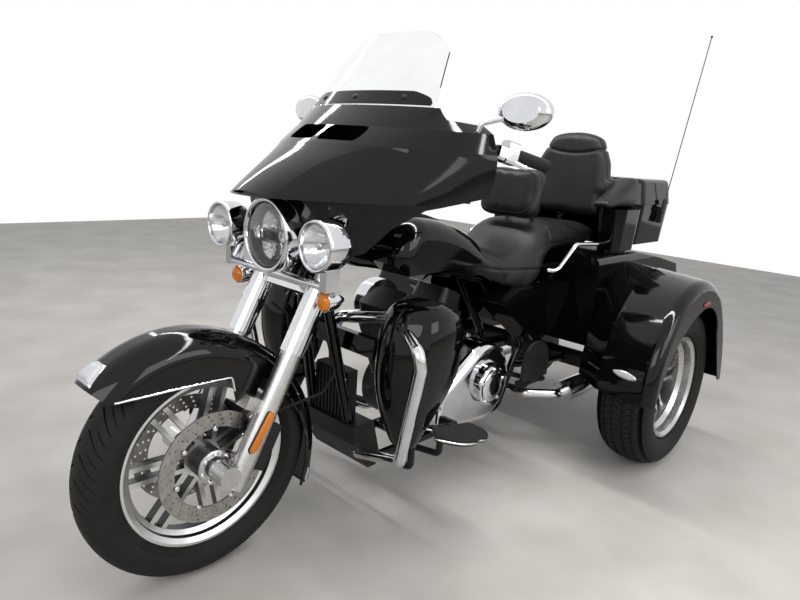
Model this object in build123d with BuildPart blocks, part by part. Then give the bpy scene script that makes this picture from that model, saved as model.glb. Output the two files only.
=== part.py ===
from build123d import *
import os
from math import cos, radians, sin, tan

# A touring trike: one steered wheel in front, two driven wheels behind, a V-twin engine between.
# All sizes are millimetres. X points to the machine's left, Y to its rear and Z up.
# The origin is on the floor, midway along the machine.

os.makedirs("parts", exist_ok=True)

# Overall layout
WHEELBASE = 1670
FRONT_OVERHANG = 302
REAR_OVERHANG = 698
REAR_TRACK = 1095
OVERALL_WIDTH = 1390

# Wheels and tyres
FRONT_TYRE_RADIUS = 320
FRONT_TYRE_WIDTH = 130
FRONT_BEAD_RADIUS = 217
FRONT_RIM_WIDTH = 76
REAR_TYRE_RADIUS = 323
REAR_TYRE_WIDTH = 205
REAR_BEAD_RADIUS = 191
REAR_RIM_WIDTH = 152
FLANGE_HEIGHT = 12
FLANGE_THICKNESS = 6
SPOKE_PAIRS = 7
SPOKE_WIDTH = 13
SPOKE_SPREAD = 40
AXLE_RADIUS = 12.5
RUNNING_CLEARANCE = 0.05
DISC_RADIUS = 150
DISC_THICKNESS = 5
DISC_OFFSET = 72

# Steering
RAKE = 27.5
STEM_OFFSET = 62
TUBE_OFFSET = 43
FORK_SPACING = 250
TUBE_COVER_RADIUS = 33
SLIDER_RADIUS = 29
COVER_START = 343
LOWER_CLAMP_HEIGHT = 505
UPPER_CLAMP_HEIGHT = 690
CLAMP_THICKNESS = 28
STEM_RADIUS = 14
NECK_RADIUS = 27
STEER_GAP = 5

# Front fender
FENDER_HALF_WIDTH = 82
FENDER_EDGE_RADIUS = 68

# Sheet and panel thicknesses
FENDER_WALL = 3
PANEL_WALL = 4
SEAT_GAP = 0.3

FRONT_AXLE_Y = FRONT_OVERHANG - (FRONT_OVERHANG + WHEELBASE + REAR_OVERHANG) / 2
REAR_AXLE_Y = FRONT_AXLE_Y + WHEELBASE
FRONT_HUB = (0, FRONT_AXLE_Y, FRONT_TYRE_RADIUS)
REAR_WHEEL_X = REAR_TRACK / 2


def aft(distance):
    """The Y of a place that far behind the front axle."""
    return FRONT_AXLE_Y + distance


def side_plane(x=0):
    """A plane seen from the machine's left, whose own axes run aft and up."""
    return Plane(origin=(x, 0, 0), x_dir=(0, 1, 0), z_dir=(1, 0, 0))


def across_plane(y=0):
    """A plane across the machine, whose own axes run left and up. It faces forward."""
    return Plane(origin=(0, y, 0), x_dir=(1, 0, 0), z_dir=(0, -1, 0))


def fork_plane(height=0, forward=0):
    """A plane square to the fork. Its own axes run left and backwards from the front axle's line."""
    lean = radians(RAKE)
    axis = Vector(0, sin(lean), cos(lean))
    return Plane(origin=Vector(*FRONT_HUB) + axis * height, x_dir=(1, 0, 0), z_dir=axis)


written = []


def save(piece, name):
    """Labels a finished piece and writes its STEP file."""
    piece.label = name
    export_step(piece, f"parts/{name}.step")
    written.append(name)


# Tyres: one ring of rubber each, its beads held between the rim's flanges
def tyre_half_section(radius, width, rim_edge, root, squareness):
    """Half of a tyre's section, from the rim's flange up the sidewall and over the tread."""
    half = width / 2
    middle = (rim_edge + radius) / 2 - 12
    corners = [(root, rim_edge), (half * 0.94, rim_edge + 0.4 * (middle - rim_edge))]
    for step in range(4):
        turn = radians(30 * step)
        out = half * cos(turn) ** (2 / squareness)
        rise = (radius - middle) * sin(turn) ** (2 / squareness)
        corners.append((out, middle + rise))
    return corners


def make_tyre(centre, radius, width, bead_radius, rim_width, squareness):
    bead = rim_width / 2 - SEAT_GAP
    foot = bead_radius + SEAT_GAP
    rim_edge = bead_radius + FLANGE_HEIGHT + SEAT_GAP
    half = tyre_half_section(radius, width, rim_edge, bead + FLANGE_THICKNESS, squareness)
    other_half = [(-x, z) for x, z in reversed(half[:-1])]
    with BuildPart() as ring:
        with BuildSketch(Plane(origin=centre, x_dir=(1, 0, 0), z_dir=(0, -1, 0))):
            with BuildLine():
                Polyline((-bead, rim_edge), (-bead, foot), (bead, foot), (bead, rim_edge), *half, *other_half, close=True)
            make_face()
        revolve(axis=Axis(centre, (1, 0, 0)))
    return ring.part


front_tyre = make_tyre(FRONT_HUB, FRONT_TYRE_RADIUS, FRONT_TYRE_WIDTH, FRONT_BEAD_RADIUS, FRONT_RIM_WIDTH, 2.2)
save(front_tyre, "front_tyre")
for side, hand in (("left", 1), ("right", -1)):
    hub = (hand * REAR_WHEEL_X, REAR_AXLE_Y, REAR_TYRE_RADIUS)
    rear_tyre = make_tyre(hub, REAR_TYRE_RADIUS, REAR_TYRE_WIDTH, REAR_BEAD_RADIUS, REAR_RIM_WIDTH, 2.6)
    save(rear_tyre, f"rear_tyre_{side}")

# Front wheel: a cast rim with seven pairs of parallel spokes round a bored hub
RIM_THICKNESS = 7
FRONT_HUB_RADIUS = 42
SPOKE_THICKNESS = 28
FRONT_HUB_HALF = DISC_OFFSET - DISC_THICKNESS / 2


def rim_outline(bead_radius, rim_width, well_depth):
    """Half of a rim's section, from its middle out to the flange and back."""
    half = rim_width / 2
    edge = half + FLANGE_THICKNESS
    well = bead_radius - well_depth
    return [
        (0, well),
        (half * 0.35, well),
        (half * 0.55, bead_radius - 2),
        (half, bead_radius),
        (half, bead_radius + FLANGE_HEIGHT),
        (edge, bead_radius + FLANGE_HEIGHT),
        (edge, bead_radius + FLANGE_HEIGHT - RIM_THICKNESS),
        (half * 0.95, bead_radius - RIM_THICKNESS),
        (half * 0.60, bead_radius - 2 - RIM_THICKNESS),
        (half * 0.40, well - RIM_THICKNESS),
        (0, well - RIM_THICKNESS),
    ]


with BuildPart() as front_rim:
    wheel_plane = Plane(origin=FRONT_HUB, x_dir=(1, 0, 0), z_dir=(0, -1, 0))
    with BuildSketch(wheel_plane):
        with BuildLine():
            Polyline(*rim_outline(FRONT_BEAD_RADIUS, FRONT_RIM_WIDTH, 14), close=True)
        make_face()
        mirror(about=Plane.YZ)
    revolve(axis=Axis(FRONT_HUB, (1, 0, 0)))
    with BuildSketch(Plane(origin=FRONT_HUB, x_dir=(0, 1, 0), z_dir=(1, 0, 0))) as spokes:
        spoke_end = FRONT_BEAD_RADIUS - 14 - RIM_THICKNESS / 2
        with PolarLocations(spoke_end / 2, SPOKE_PAIRS, start_angle=90 - 14.4):
            with Locations((0, SPOKE_SPREAD / 2), (0, -SPOKE_SPREAD / 2)):
                Rectangle(spoke_end, SPOKE_WIDTH)
        Circle(FRONT_HUB_RADIUS + 10)
    extrude(amount=SPOKE_THICKNESS / 2, both=True)
    with BuildSketch(Plane(origin=FRONT_HUB, x_dir=(0, 1, 0), z_dir=(1, 0, 0))):
        Circle(FRONT_HUB_RADIUS)
    extrude(amount=FRONT_HUB_HALF, both=True)
    with Locations(Plane(origin=FRONT_HUB, x_dir=(0, 1, 0), z_dir=(1, 0, 0))):
        Cylinder(AXLE_RADIUS + RUNNING_CLEARANCE, 4 * FRONT_HUB_HALF, mode=Mode.SUBTRACT)
save(front_rim.part, "front_rim")

# Brake discs: a thin ring held by a carrier with seven windows and seven bolts, one each side of the hub
RING_INNER_RADIUS = 108
CARRIER_RADIUS = 116
CARRIER_HUB_RADIUS = 47
WINDOW_INNER_RADIUS = 54
WINDOW_ARM = 20
DISC_BOLT_CIRCLE = 111
DISC_BOLT_RADIUS = 8
DISC_BOLT_HEIGHT = 5
with BuildPart() as front_discs:
    for hand in (1, -1):
        face_plane = Plane(
            origin=Vector(*FRONT_HUB) + Vector(hand * DISC_OFFSET, 0, 0),
            x_dir=(0, hand, 0),
            z_dir=(hand, 0, 0),
        )
        with BuildSketch(face_plane):
            Circle(DISC_RADIUS)
            Circle(RING_INNER_RADIUS, mode=Mode.SUBTRACT)
        extrude(amount=DISC_THICKNESS / 2, both=True)
        with BuildSketch(face_plane) as carrier:
            Circle(RING_INNER_RADIUS + 4)
            Circle(RING_INNER_RADIUS - 8, mode=Mode.SUBTRACT)
            with PolarLocations(CARRIER_RADIUS / 2, SPOKE_PAIRS, start_angle=90):
                Rectangle(CARRIER_RADIUS - 4, WINDOW_ARM)
            Circle(CARRIER_HUB_RADIUS + 8)
            Circle(AXLE_RADIUS + STEER_GAP, mode=Mode.SUBTRACT)
        extrude(amount=DISC_THICKNESS)
        with BuildSketch(face_plane):
            with PolarLocations(DISC_BOLT_CIRCLE - 2, SPOKE_PAIRS, start_angle=90):
                Circle(DISC_BOLT_RADIUS)
        extrude(amount=DISC_THICKNESS + DISC_BOLT_HEIGHT)
save(front_discs.part, "front_discs")

# Rear wheels: deep rims whose spokes stand well inboard of the outer lip
REAR_HUB_RADIUS = 55
REAR_SPOKE_X = 15
REAR_HUB_HALF = 30
HALF_SHAFT_RADIUS = 18
HUB_CAP = 10
for side, hand in (("left", 1), ("right", -1)):
    hub = (hand * REAR_WHEEL_X, REAR_AXLE_Y, REAR_TYRE_RADIUS)
    spoke_x = hand * (REAR_WHEEL_X - REAR_SPOKE_X)
    with BuildPart() as rear_rim:
        with BuildSketch(Plane(origin=hub, x_dir=(1, 0, 0), z_dir=(0, -1, 0))):
            with BuildLine():
                Polyline(*rim_outline(REAR_BEAD_RADIUS, REAR_RIM_WIDTH, 16), close=True)
            make_face()
            mirror(about=Plane.YZ)
        revolve(axis=Axis(hub, (1, 0, 0)))
        face = Plane(origin=(spoke_x, REAR_AXLE_Y, REAR_TYRE_RADIUS), x_dir=(0, 1, 0), z_dir=(1, 0, 0))
        with BuildSketch(face):
            spoke_end = REAR_BEAD_RADIUS - 16 - RIM_THICKNESS / 2
            with PolarLocations(spoke_end / 2, SPOKE_PAIRS):
                with Locations((0, SPOKE_SPREAD / 2), (0, -SPOKE_SPREAD / 2)):
                    Rectangle(spoke_end, SPOKE_WIDTH)
            Circle(REAR_HUB_RADIUS + 10)
        extrude(amount=SPOKE_THICKNESS / 2, both=True)
        with BuildSketch(face):
            Circle(REAR_HUB_RADIUS)
        extrude(amount=REAR_HUB_HALF, both=True)
        bore_x = spoke_x - hand * HUB_CAP
        with Locations(Plane(origin=(bore_x, REAR_AXLE_Y, REAR_TYRE_RADIUS), x_dir=(0, 1, 0), z_dir=(1, 0, 0))):
            Cylinder(HALF_SHAFT_RADIUS + RUNNING_CLEARANCE, 2 * REAR_HUB_HALF, mode=Mode.SUBTRACT)
    save(rear_rim.part, f"rear_rim_{side}")

# Fork sliders: the lower legs, with the axle between them and lugs that carry the fender
LUG_HEIGHT = 187
LUG_REACH = 38
LUG_LENGTH = 60
LUG_THICKNESS = 34
tube_x = FORK_SPACING / 2
with BuildPart() as fork_sliders:
    with BuildSketch(fork_plane(-30)):
        with Locations((tube_x, TUBE_OFFSET), (-tube_x, TUBE_OFFSET)):
            Circle(SLIDER_RADIUS)
    extrude(amount=30 + COVER_START)
    for hand in (1, -1):
        with BuildSketch(Plane(origin=(hand * tube_x, FRONT_AXLE_Y, FRONT_TYRE_RADIUS), x_dir=(0, 1, 0), z_dir=(1, 0, 0))):
            Circle(SLIDER_RADIUS)
        extrude(amount=SLIDER_RADIUS, both=True)
        lug = fork_plane(LUG_HEIGHT)
        lug_middle = (hand * (FENDER_HALF_WIDTH + tube_x) / 2, TUBE_OFFSET - LUG_REACH, 0)
        with Locations(Plane(origin=lug.from_local_coords(lug_middle), x_dir=(1, 0, 0), z_dir=lug.z_dir)):
            Box(tube_x - FENDER_HALF_WIDTH, LUG_LENGTH, LUG_THICKNESS)
    with Locations(Plane(origin=FRONT_HUB, x_dir=(0, 1, 0), z_dir=(1, 0, 0))):
        Cylinder(AXLE_RADIUS, FORK_SPACING)
save(fork_sliders.part, "fork_sliders")

# Fork tubes: the fixed upper legs inside bright covers, up through both clamps
with BuildPart() as fork_tubes:
    with BuildSketch(fork_plane(COVER_START)):
        with Locations((tube_x, TUBE_OFFSET), (-tube_x, TUBE_OFFSET)):
            Circle(TUBE_COVER_RADIUS)
    extrude(amount=LOWER_CLAMP_HEIGHT - COVER_START)
save(fork_tubes.part, "fork_tubes")

# Fork clamps: two yokes on the steering stem, with the tubes' upper ends between them
with BuildPart() as fork_clamps:
    for height in (LOWER_CLAMP_HEIGHT, UPPER_CLAMP_HEIGHT):
        with BuildSketch(fork_plane(height)):
            with Locations((tube_x, TUBE_OFFSET), (-tube_x, TUBE_OFFSET)):
                Circle(TUBE_COVER_RADIUS)
            with Locations((0, (TUBE_OFFSET + STEM_OFFSET) / 2)):
                Rectangle(FORK_SPACING, 44)
            with Locations((0, STEM_OFFSET)):
                Circle(30)
        extrude(amount=CLAMP_THICKNESS)
    with BuildSketch(fork_plane(LOWER_CLAMP_HEIGHT)):
        with Locations((tube_x, TUBE_OFFSET), (-tube_x, TUBE_OFFSET)):
            Circle(TUBE_COVER_RADIUS - 8)
        with Locations((0, STEM_OFFSET)):
            Circle(STEM_RADIUS)
    extrude(amount=UPPER_CLAMP_HEIGHT - LOWER_CLAMP_HEIGHT + CLAMP_THICKNESS)
save(fork_clamps.part, "fork_clamps")

# Front brake calipers: one behind each slider, straddling the disc
with BuildPart() as brake_calipers:
    for hand in (1, -1):
        base = fork_plane(85)
        with Locations(Plane(origin=base.from_local_coords((hand * 77, 108, 0)), x_dir=(1, 0, 0), z_dir=base.z_dir)):
            Box(54, 56, 130)
        with Locations(Plane(origin=base.from_local_coords((hand * 112, 85, 0)), x_dir=(1, 0, 0), z_dir=base.z_dir)):
            Box(20, 28, 100)
    with Locations(Plane(origin=FRONT_HUB, x_dir=(0, 1, 0), z_dir=(1, 0, 0))):
        for hand in (1, -1):
            with Locations((0, 0, hand * DISC_OFFSET)):
                Cylinder(DISC_RADIUS + STEER_GAP, DISC_THICKNESS + 2 * STEER_GAP, mode=Mode.SUBTRACT)
                bolt_reach = DISC_THICKNESS + DISC_BOLT_HEIGHT + STEER_GAP
                Cylinder(DISC_BOLT_CIRCLE + DISC_BOLT_RADIUS + STEER_GAP, 2 * bolt_reach, mode=Mode.SUBTRACT)
    add(fork_sliders.part, mode=Mode.SUBTRACT)
save(brake_calipers.part, "brake_calipers")



def spot(x, distance, height):
    """A point given by its X, how far it is behind the front axle, and its height."""
    return (x, aft(distance), height)


def make_tube(points, radius, bend):
    """A round tube along straight runs joined by bends of one radius."""
    with BuildPart() as tube:
        with BuildLine() as path:
            FilletPolyline(*points, radius=bend)
        with BuildSketch(Plane(origin=path.line @ 0, z_dir=path.line % 0)):
            Circle(radius)
        sweep(path=path.line)
    return tube.part


# Front brake hoses: from each caliper back past the fender, then up to the lower clamp
HOSE_RADIUS = 4
with BuildPart() as brake_hoses:
    hose_route = [
        spot(96, 186, 436),
        spot(104, 250, 447),
        spot(104, 330, 455),
        spot(104, 372, 505),
        spot(92, 350, 600),
        spot(66, 322, 652),
        spot(60, 262, 694),
    ]
    add(make_tube(hose_route, HOSE_RADIUS, 18))
    with Locations(hose_route[0]):
        Sphere(2 * HOSE_RADIUS)
    mirror(about=Plane.YZ)
    add(brake_calipers.part, mode=Mode.SUBTRACT)
    add(fork_clamps.part, mode=Mode.SUBTRACT)
save(brake_hoses.part, "brake_hoses")


# Front fender: a deep rolled shell that follows the wheel, turned down at the sides
def fender_outline():
    """The crown line from the front tip over the wheel and down behind it, closed through the hub."""
    front_tip = (aft(-FRONT_OVERHANG), 575)
    top = (aft(0), 679)
    back = (aft(309), 450)
    tail = (aft(327), 140)
    front_arc = ThreePointArc(front_tip, (aft(-176), 662), top)
    back_arc = TangentArc(top, back, tangent=front_arc % 1)
    tail_arc = TangentArc(back, tail, tangent=back_arc % 1)
    Polyline(tail_arc @ 1, (aft(0), FRONT_TYRE_RADIUS), front_tip)


def fender_block(inset):
    """The fender's volume with its rolled edges, smaller all round by the inset."""
    with BuildPart() as block:
        with BuildSketch(side_plane()):
            with BuildLine():
                fender_outline()
            make_face()
            if inset > 0:
                offset(amount=-inset, kind=Kind.INTERSECTION)
        extrude(amount=FENDER_HALF_WIDTH - inset, both=True)
        rolled = block.edges().filter_by(GeomType.CIRCLE)
        fillet(rolled, FENDER_EDGE_RADIUS - inset)
    return block.part


with BuildPart() as front_fender:
    add(fender_block(0))
    add(fender_block(FENDER_WALL), mode=Mode.SUBTRACT)
    hub_point = (aft(0), FRONT_TYRE_RADIUS)
    with BuildSketch(side_plane()):
        with BuildLine():
            Polyline(hub_point, (aft(-296), 589), (aft(-340), 560), (aft(-250), 450), close=True)
        make_face()
        with BuildLine():
            Polyline(hub_point, (aft(323), 165), (aft(321), 110), (aft(200), 100), close=True)
        make_face()
    extrude(amount=FENDER_HALF_WIDTH - FENDER_WALL, both=True, mode=Mode.SUBTRACT)
    with BuildSketch(side_plane()):
        with BuildLine():
            Polyline(
                (aft(-420), 540),
                (aft(-290), 557),
                (aft(-120), 556),
                (aft(45), 553),
                (aft(58), 484),
                (aft(112), 484),
                (aft(140), 540),
                (aft(215), 470),
                (aft(262), 400),
                (aft(290), 330),
                (aft(292), 240),
                (aft(270), 152),
                (aft(340), 128),
                (aft(340), -50),
                (aft(-420), -50),
                close=True,
            )
        make_face()
    extrude(amount=2 * FENDER_HALF_WIDTH, both=True, mode=Mode.SUBTRACT)
save(front_fender.part, "front_fender")

# Fairing: a broad shell carried on the fork, open to the rear, with its brow over the lamps
FAIRING_BROW = 1008
FAIRING_RIDGE = 1150
FAIRING_SPAN = 500
DECK_START = 556
DECK_HIGH = 1232
DECK_LOW = 1222
FAIRING_TOP = 1262
FAIRING_FLOOR = 855
FAIRING_REAR = 648


# Levels of the fairing, from the brow up: height, nose, crease (X and distance), half width at the rear.
# The crease runs from beside the nose, out over the lamps and back along each wing.
HOOD_LEVELS = [
    (FAIRING_BROW, 114, 92, 142, 378),
    (1064, 192, 104, 216, 394),
    (1123, 284, 146, 317, 403),
    (FAIRING_RIDGE, 325, 208, 385, 402),
]
ROOF_LEVELS = [
    (FAIRING_RIDGE, 325, 208, 385, 402),
    (1203, 402, 236, 470, 382),
    (FAIRING_TOP, 470, 262, 546, 284),
]
NACELLE_LEVELS = [
    (FAIRING_FLOOR, 264, 158, 292, 326),
    (930, 244, 172, 272, 352),
    (FAIRING_BROW, 232, 176, 256, 377),
]


def fairing_outline(nose, shoulder_x, shoulder, half_width, inset):
    """One level of the fairing seen from above: an arc at the nose and one along each side."""
    near = (shoulder_x - inset, aft(shoulder + inset * 0.7))
    tip = (half_width - inset, aft(FAIRING_REAR))
    bulge_x = shoulder_x * 0.45 + half_width * 0.55 + 4 - inset
    bulge = (bulge_x, aft(shoulder * 0.6 + FAIRING_REAR * 0.4))
    ThreePointArc(near, (0, aft(nose + inset)), (-near[0], near[1]))
    ThreePointArc(near, bulge, tip)
    ThreePointArc((-near[0], near[1]), (-bulge[0], bulge[1]), (-tip[0], tip[1]))
    Line(tip, (-tip[0], tip[1]))


def fairing_block(levels, inset, straight=False):
    """The volume inside a set of levels, smaller by the inset on its front and sides."""
    with BuildPart() as block:
        for height, nose, shoulder_x, shoulder, half_width in levels:
            with BuildSketch(Plane.XY.offset(height)):
                with BuildLine():
                    fairing_outline(nose, shoulder_x, shoulder, half_width, inset)
                make_face()
        loft(ruled=straight)
    return block.part


def moved_level(level, rise):
    """The same level a little higher or lower."""
    return (level[0] + rise, *level[1:])


def deck_cut(drop):
    """What is cut off above the deck behind the windshield."""
    with BuildPart() as cut:
        with BuildSketch(side_plane()):
            with BuildLine():
                Polyline(
                    (aft(DECK_START - drop), FAIRING_TOP + 20),
                    (aft(DECK_START - drop), DECK_HIGH - drop),
                    (aft(FAIRING_REAR + 20), DECK_LOW - drop),
                    (aft(FAIRING_REAR + 20), FAIRING_TOP + 20),
                    close=True,
                )
            make_face()
        extrude(amount=FAIRING_SPAN, both=True)
    return cut.part


inner_hood = [moved_level(HOOD_LEVELS[0], PANEL_WALL), *HOOD_LEVELS[1:]]
inner_roof = [*ROOF_LEVELS[:-1], moved_level(ROOF_LEVELS[-1], -PANEL_WALL)]
inner_nacelle = [
    moved_level(NACELLE_LEVELS[0], -PANEL_WALL),
    NACELLE_LEVELS[1],
    moved_level(NACELLE_LEVELS[-1], 2 * PANEL_WALL),
]
HEADLAMP_HEIGHT = 902
HEADLAMP_RADIUS = 101
HEADLAMP_FRONT = 188
HEADLAMP_DEPTH = 104
LAMP_SPACING = 436
LAMP_HEIGHT = 904
LAMP_FRONT = 183
LAMP_RADIUS = 66
LAMP_DEPTH = 96
VENT_HALF_WIDTH = 150
VENT_LOW = 1161
VENT_HIGH = 1203
VENT_DIVIDER = 14
VENT_DISTANCE = 330

with BuildPart() as roof_outside:
    add(fairing_block(ROOF_LEVELS, 0, straight=True))
    add(deck_cut(0), mode=Mode.SUBTRACT)
with BuildPart() as roof_inside:
    add(fairing_block(inner_roof, PANEL_WALL, straight=True))
    add(deck_cut(PANEL_WALL), mode=Mode.SUBTRACT)
with BuildPart() as fairing_shell:
    add(fairing_block(HOOD_LEVELS, 0))
    add(roof_outside.part)
    add(fairing_block(NACELLE_LEVELS, 0))
    add(fairing_block(inner_hood, PANEL_WALL), mode=Mode.SUBTRACT)
    add(roof_inside.part, mode=Mode.SUBTRACT)
    add(fairing_block(inner_nacelle, PANEL_WALL), mode=Mode.SUBTRACT)
    with BuildSketch(side_plane()):
        with BuildLine():
            Polyline(
                (aft(322), FAIRING_FLOOR - 50),
                (aft(322), 862),
                (aft(355), 874),
                (aft(399), 944),
                (aft(470), 996),
                (aft(FAIRING_REAR + 20), 1040),
                (aft(FAIRING_REAR + 20), FAIRING_FLOOR - 50),
                close=True,
            )
        make_face()
    extrude(amount=FAIRING_SPAN, both=True, mode=Mode.SUBTRACT)
    with BuildSketch(across_plane(aft(VENT_DISTANCE))):
        with Locations((0, (VENT_LOW + VENT_HIGH) / 2)):
            with Locations((VENT_HALF_WIDTH / 2, 0), (-VENT_HALF_WIDTH / 2, 0)):
                RectangleRounded(VENT_HALF_WIDTH - VENT_DIVIDER, VENT_HIGH - VENT_LOW, 14)
    extrude(amount=-120, mode=Mode.SUBTRACT)
    with BuildSketch(across_plane(aft(HEADLAMP_FRONT))):
        with Locations((0, HEADLAMP_HEIGHT)):
            Circle(HEADLAMP_RADIUS + SEAT_GAP)
        with Locations((LAMP_SPACING / 2, LAMP_HEIGHT), (-LAMP_SPACING / 2, LAMP_HEIGHT)):
            Circle(LAMP_RADIUS + SEAT_GAP)
    extrude(amount=-HEADLAMP_DEPTH - 10, mode=Mode.SUBTRACT)
save(fairing_shell.part, "fairing_shell")


# Headlamp: a round bucket under the brow, its lens domed inside a bright ring
def make_lamp(x, front, height, radius, depth, ring):
    with BuildPart() as lamp:
        with BuildSketch(Plane(origin=(x, 0, height), x_dir=(0, 1, 0), z_dir=(1, 0, 0))):
            with BuildLine():
                Polyline((aft(front + 6), 0), (aft(front + 10), radius - ring), (aft(front), radius - ring))
                ThreePointArc(
                    (aft(front), radius - ring),
                    (aft(front + ring * 0.3), radius - ring * 0.3),
                    (aft(front + ring), radius),
                )
                Line((aft(front + ring), radius), (aft(front + depth * 0.4), radius))
                ThreePointArc(
                    (aft(front + depth * 0.4), radius),
                    (aft(front + depth * 0.82), radius * 0.72),
                    (aft(front + depth), radius * 0.3),
                )
                Polyline((aft(front + depth), radius * 0.3), (aft(front + depth), 0), (aft(front + 6), 0))
            make_face()
        revolve(axis=Axis((x, 0, height), (0, 1, 0)))
    return lamp.part


save(make_lamp(0, HEADLAMP_FRONT, HEADLAMP_HEIGHT, HEADLAMP_RADIUS, HEADLAMP_DEPTH, 12), "headlamp")

# Passing lamps, the bar that carries them, and the turn signals hung below it
BAR_HEIGHT = 786
BAR_DISTANCE = 258
BAR_RADIUS = 11
SIGNAL_SPACING = 400
SIGNAL_HEIGHT = 755
SIGNAL_FRONT = 222
SIGNAL_RADIUS = 27
SIGNAL_DEPTH = 78

with BuildPart() as passing_lamps:
    for hand in (1, -1):
        add(make_lamp(hand * LAMP_SPACING / 2, LAMP_FRONT, LAMP_HEIGHT, LAMP_RADIUS, LAMP_DEPTH, 9))
save(passing_lamps.part, "passing_lamps")

with BuildPart() as turn_signals:
    for hand in (1, -1):
        add(make_lamp(hand * SIGNAL_SPACING / 2, SIGNAL_FRONT, SIGNAL_HEIGHT, SIGNAL_RADIUS, SIGNAL_DEPTH, 3))
save(turn_signals.part, "turn_signals")

with BuildPart() as lamp_bar:
    with Locations(Plane(origin=spot(0, BAR_DISTANCE, BAR_HEIGHT), x_dir=(0, 1, 0), z_dir=(1, 0, 0))):
        Cylinder(BAR_RADIUS, LAMP_SPACING + 2 * BAR_RADIUS)
    for hand in (1, -1):
        with BuildSketch(Plane.XY.offset(SIGNAL_HEIGHT)):
            with Locations((hand * SIGNAL_SPACING / 2, aft(BAR_DISTANCE))):
                Circle(8)
        extrude(amount=BAR_HEIGHT - SIGNAL_HEIGHT)
        with BuildSketch(Plane.XY.offset(BAR_HEIGHT)):
            with Locations((hand * LAMP_SPACING / 2, aft(BAR_DISTANCE - 20))):
                Rectangle(26, 44)
        extrude(amount=LAMP_HEIGHT - BAR_HEIGHT)
        with Locations(spot(hand * tube_x, BAR_DISTANCE + 30, BAR_HEIGHT)):
            Box(24, 70, 2 * BAR_RADIUS)
    add(passing_lamps.part, mode=Mode.SUBTRACT)
    add(turn_signals.part, mode=Mode.SUBTRACT)
    add(fork_clamps.part, mode=Mode.SUBTRACT)
save(lamp_bar.part, "lamp_bar")

# Windshield: a curved clear sheet that leans back from the fairing's roof
SHIELD_TOP = 1485
SHIELD_WALL = 5
SHIELD_LEAN = 37.5
SHIELD_HALF_WIDTH = 256
SHIELD_NOSE = 473
SHIELD_END = 545
SHIELD_SHOULDER = 66


def shield_line(distance_added):
    """One face of the windshield's foot, an arc across the fairing's roof."""
    return ThreePointArc(
        (-SHIELD_HALF_WIDTH, aft(SHIELD_END + distance_added)),
        (0, aft(SHIELD_NOSE + distance_added)),
        (SHIELD_HALF_WIDTH, aft(SHIELD_END + distance_added)),
    )


with BuildPart() as windshield:
    shield_height = SHIELD_TOP - FAIRING_TOP
    with BuildSketch(Plane.XY.offset(FAIRING_TOP)):
        with BuildLine():
            front_line = shield_line(0)
            rear_line = shield_line(SHIELD_WALL)
            Line(front_line @ 0, rear_line @ 0)
            Line(front_line @ 1, rear_line @ 1)
        make_face()
    lean = Vector(0, sin(radians(SHIELD_LEAN)), cos(radians(SHIELD_LEAN)))
    extrude(amount=shield_height / cos(radians(SHIELD_LEAN)), dir=lean)
    with BuildSketch(across_plane(aft(300))):
        with BuildLine():
            shoulder_x = SHIELD_HALF_WIDTH - 46
            crown_x = SHIELD_HALF_WIDTH - 106
            sides = Polyline(
                (-shoulder_x, SHIELD_TOP - SHIELD_SHOULDER),
                (-SHIELD_HALF_WIDTH, FAIRING_TOP),
                (SHIELD_HALF_WIDTH, FAIRING_TOP),
                (shoulder_x, SHIELD_TOP - SHIELD_SHOULDER),
            )
            ThreePointArc(sides @ 1, (crown_x, SHIELD_TOP - 16), (0, SHIELD_TOP))
            ThreePointArc(sides @ 0, (-crown_x, SHIELD_TOP - 16), (0, SHIELD_TOP))
        make_face()
    extrude(amount=-600, mode=Mode.INTERSECT)
save(windshield.part, "windshield")

# Handlebar: from the upper clamp's riser out under the dash and back to the grips
HANDLEBAR_RADIUS = 12.7
GRIP_RADIUS = 18
HANDLEBAR_POINTS = [
    spot(0, 404, 968),
    spot(165, 414, 970),
    spot(318, 622, 1075),
    spot(376, 672, 1168),
    spot(383, 698, 1164),
]
GRIP_INNER = Vector(*spot(383, 698, 1164))
GRIP_OUTER = Vector(*spot(430, 845, 1131))
bar_points = [*HANDLEBAR_POINTS[:-2], spot(372, 663, 1172), GRIP_OUTER]
with BuildPart() as handlebar:
    add(make_tube(bar_points, HANDLEBAR_RADIUS, 38))
    mirror(about=Plane.YZ)
    clamp_top = fork_plane(UPPER_CLAMP_HEIGHT + CLAMP_THICKNESS)
    riser_top = Vector(*HANDLEBAR_POINTS[0])
    for hand in (1, -1):
        with BuildSketch(clamp_top):
            with Locations((hand * 45, STEM_OFFSET + 8)):
                Circle(17)
        extrude(amount=48)
save(handlebar.part, "handlebar")

# Hand controls: a grip, a switch box and a lever at each end of the bar
with BuildPart() as grips:
    grip_way = (GRIP_OUTER - GRIP_INNER).normalized()
    grip_start = GRIP_INNER + grip_way * 45
    with BuildSketch(Plane(origin=grip_start, z_dir=grip_way)):
        Circle(GRIP_RADIUS)
    extrude(amount=(GRIP_OUTER - grip_start).length + 6)
    add(handlebar.part, mode=Mode.SUBTRACT)
    mirror(about=Plane.YZ)
save(grips.part, "grips")

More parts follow.
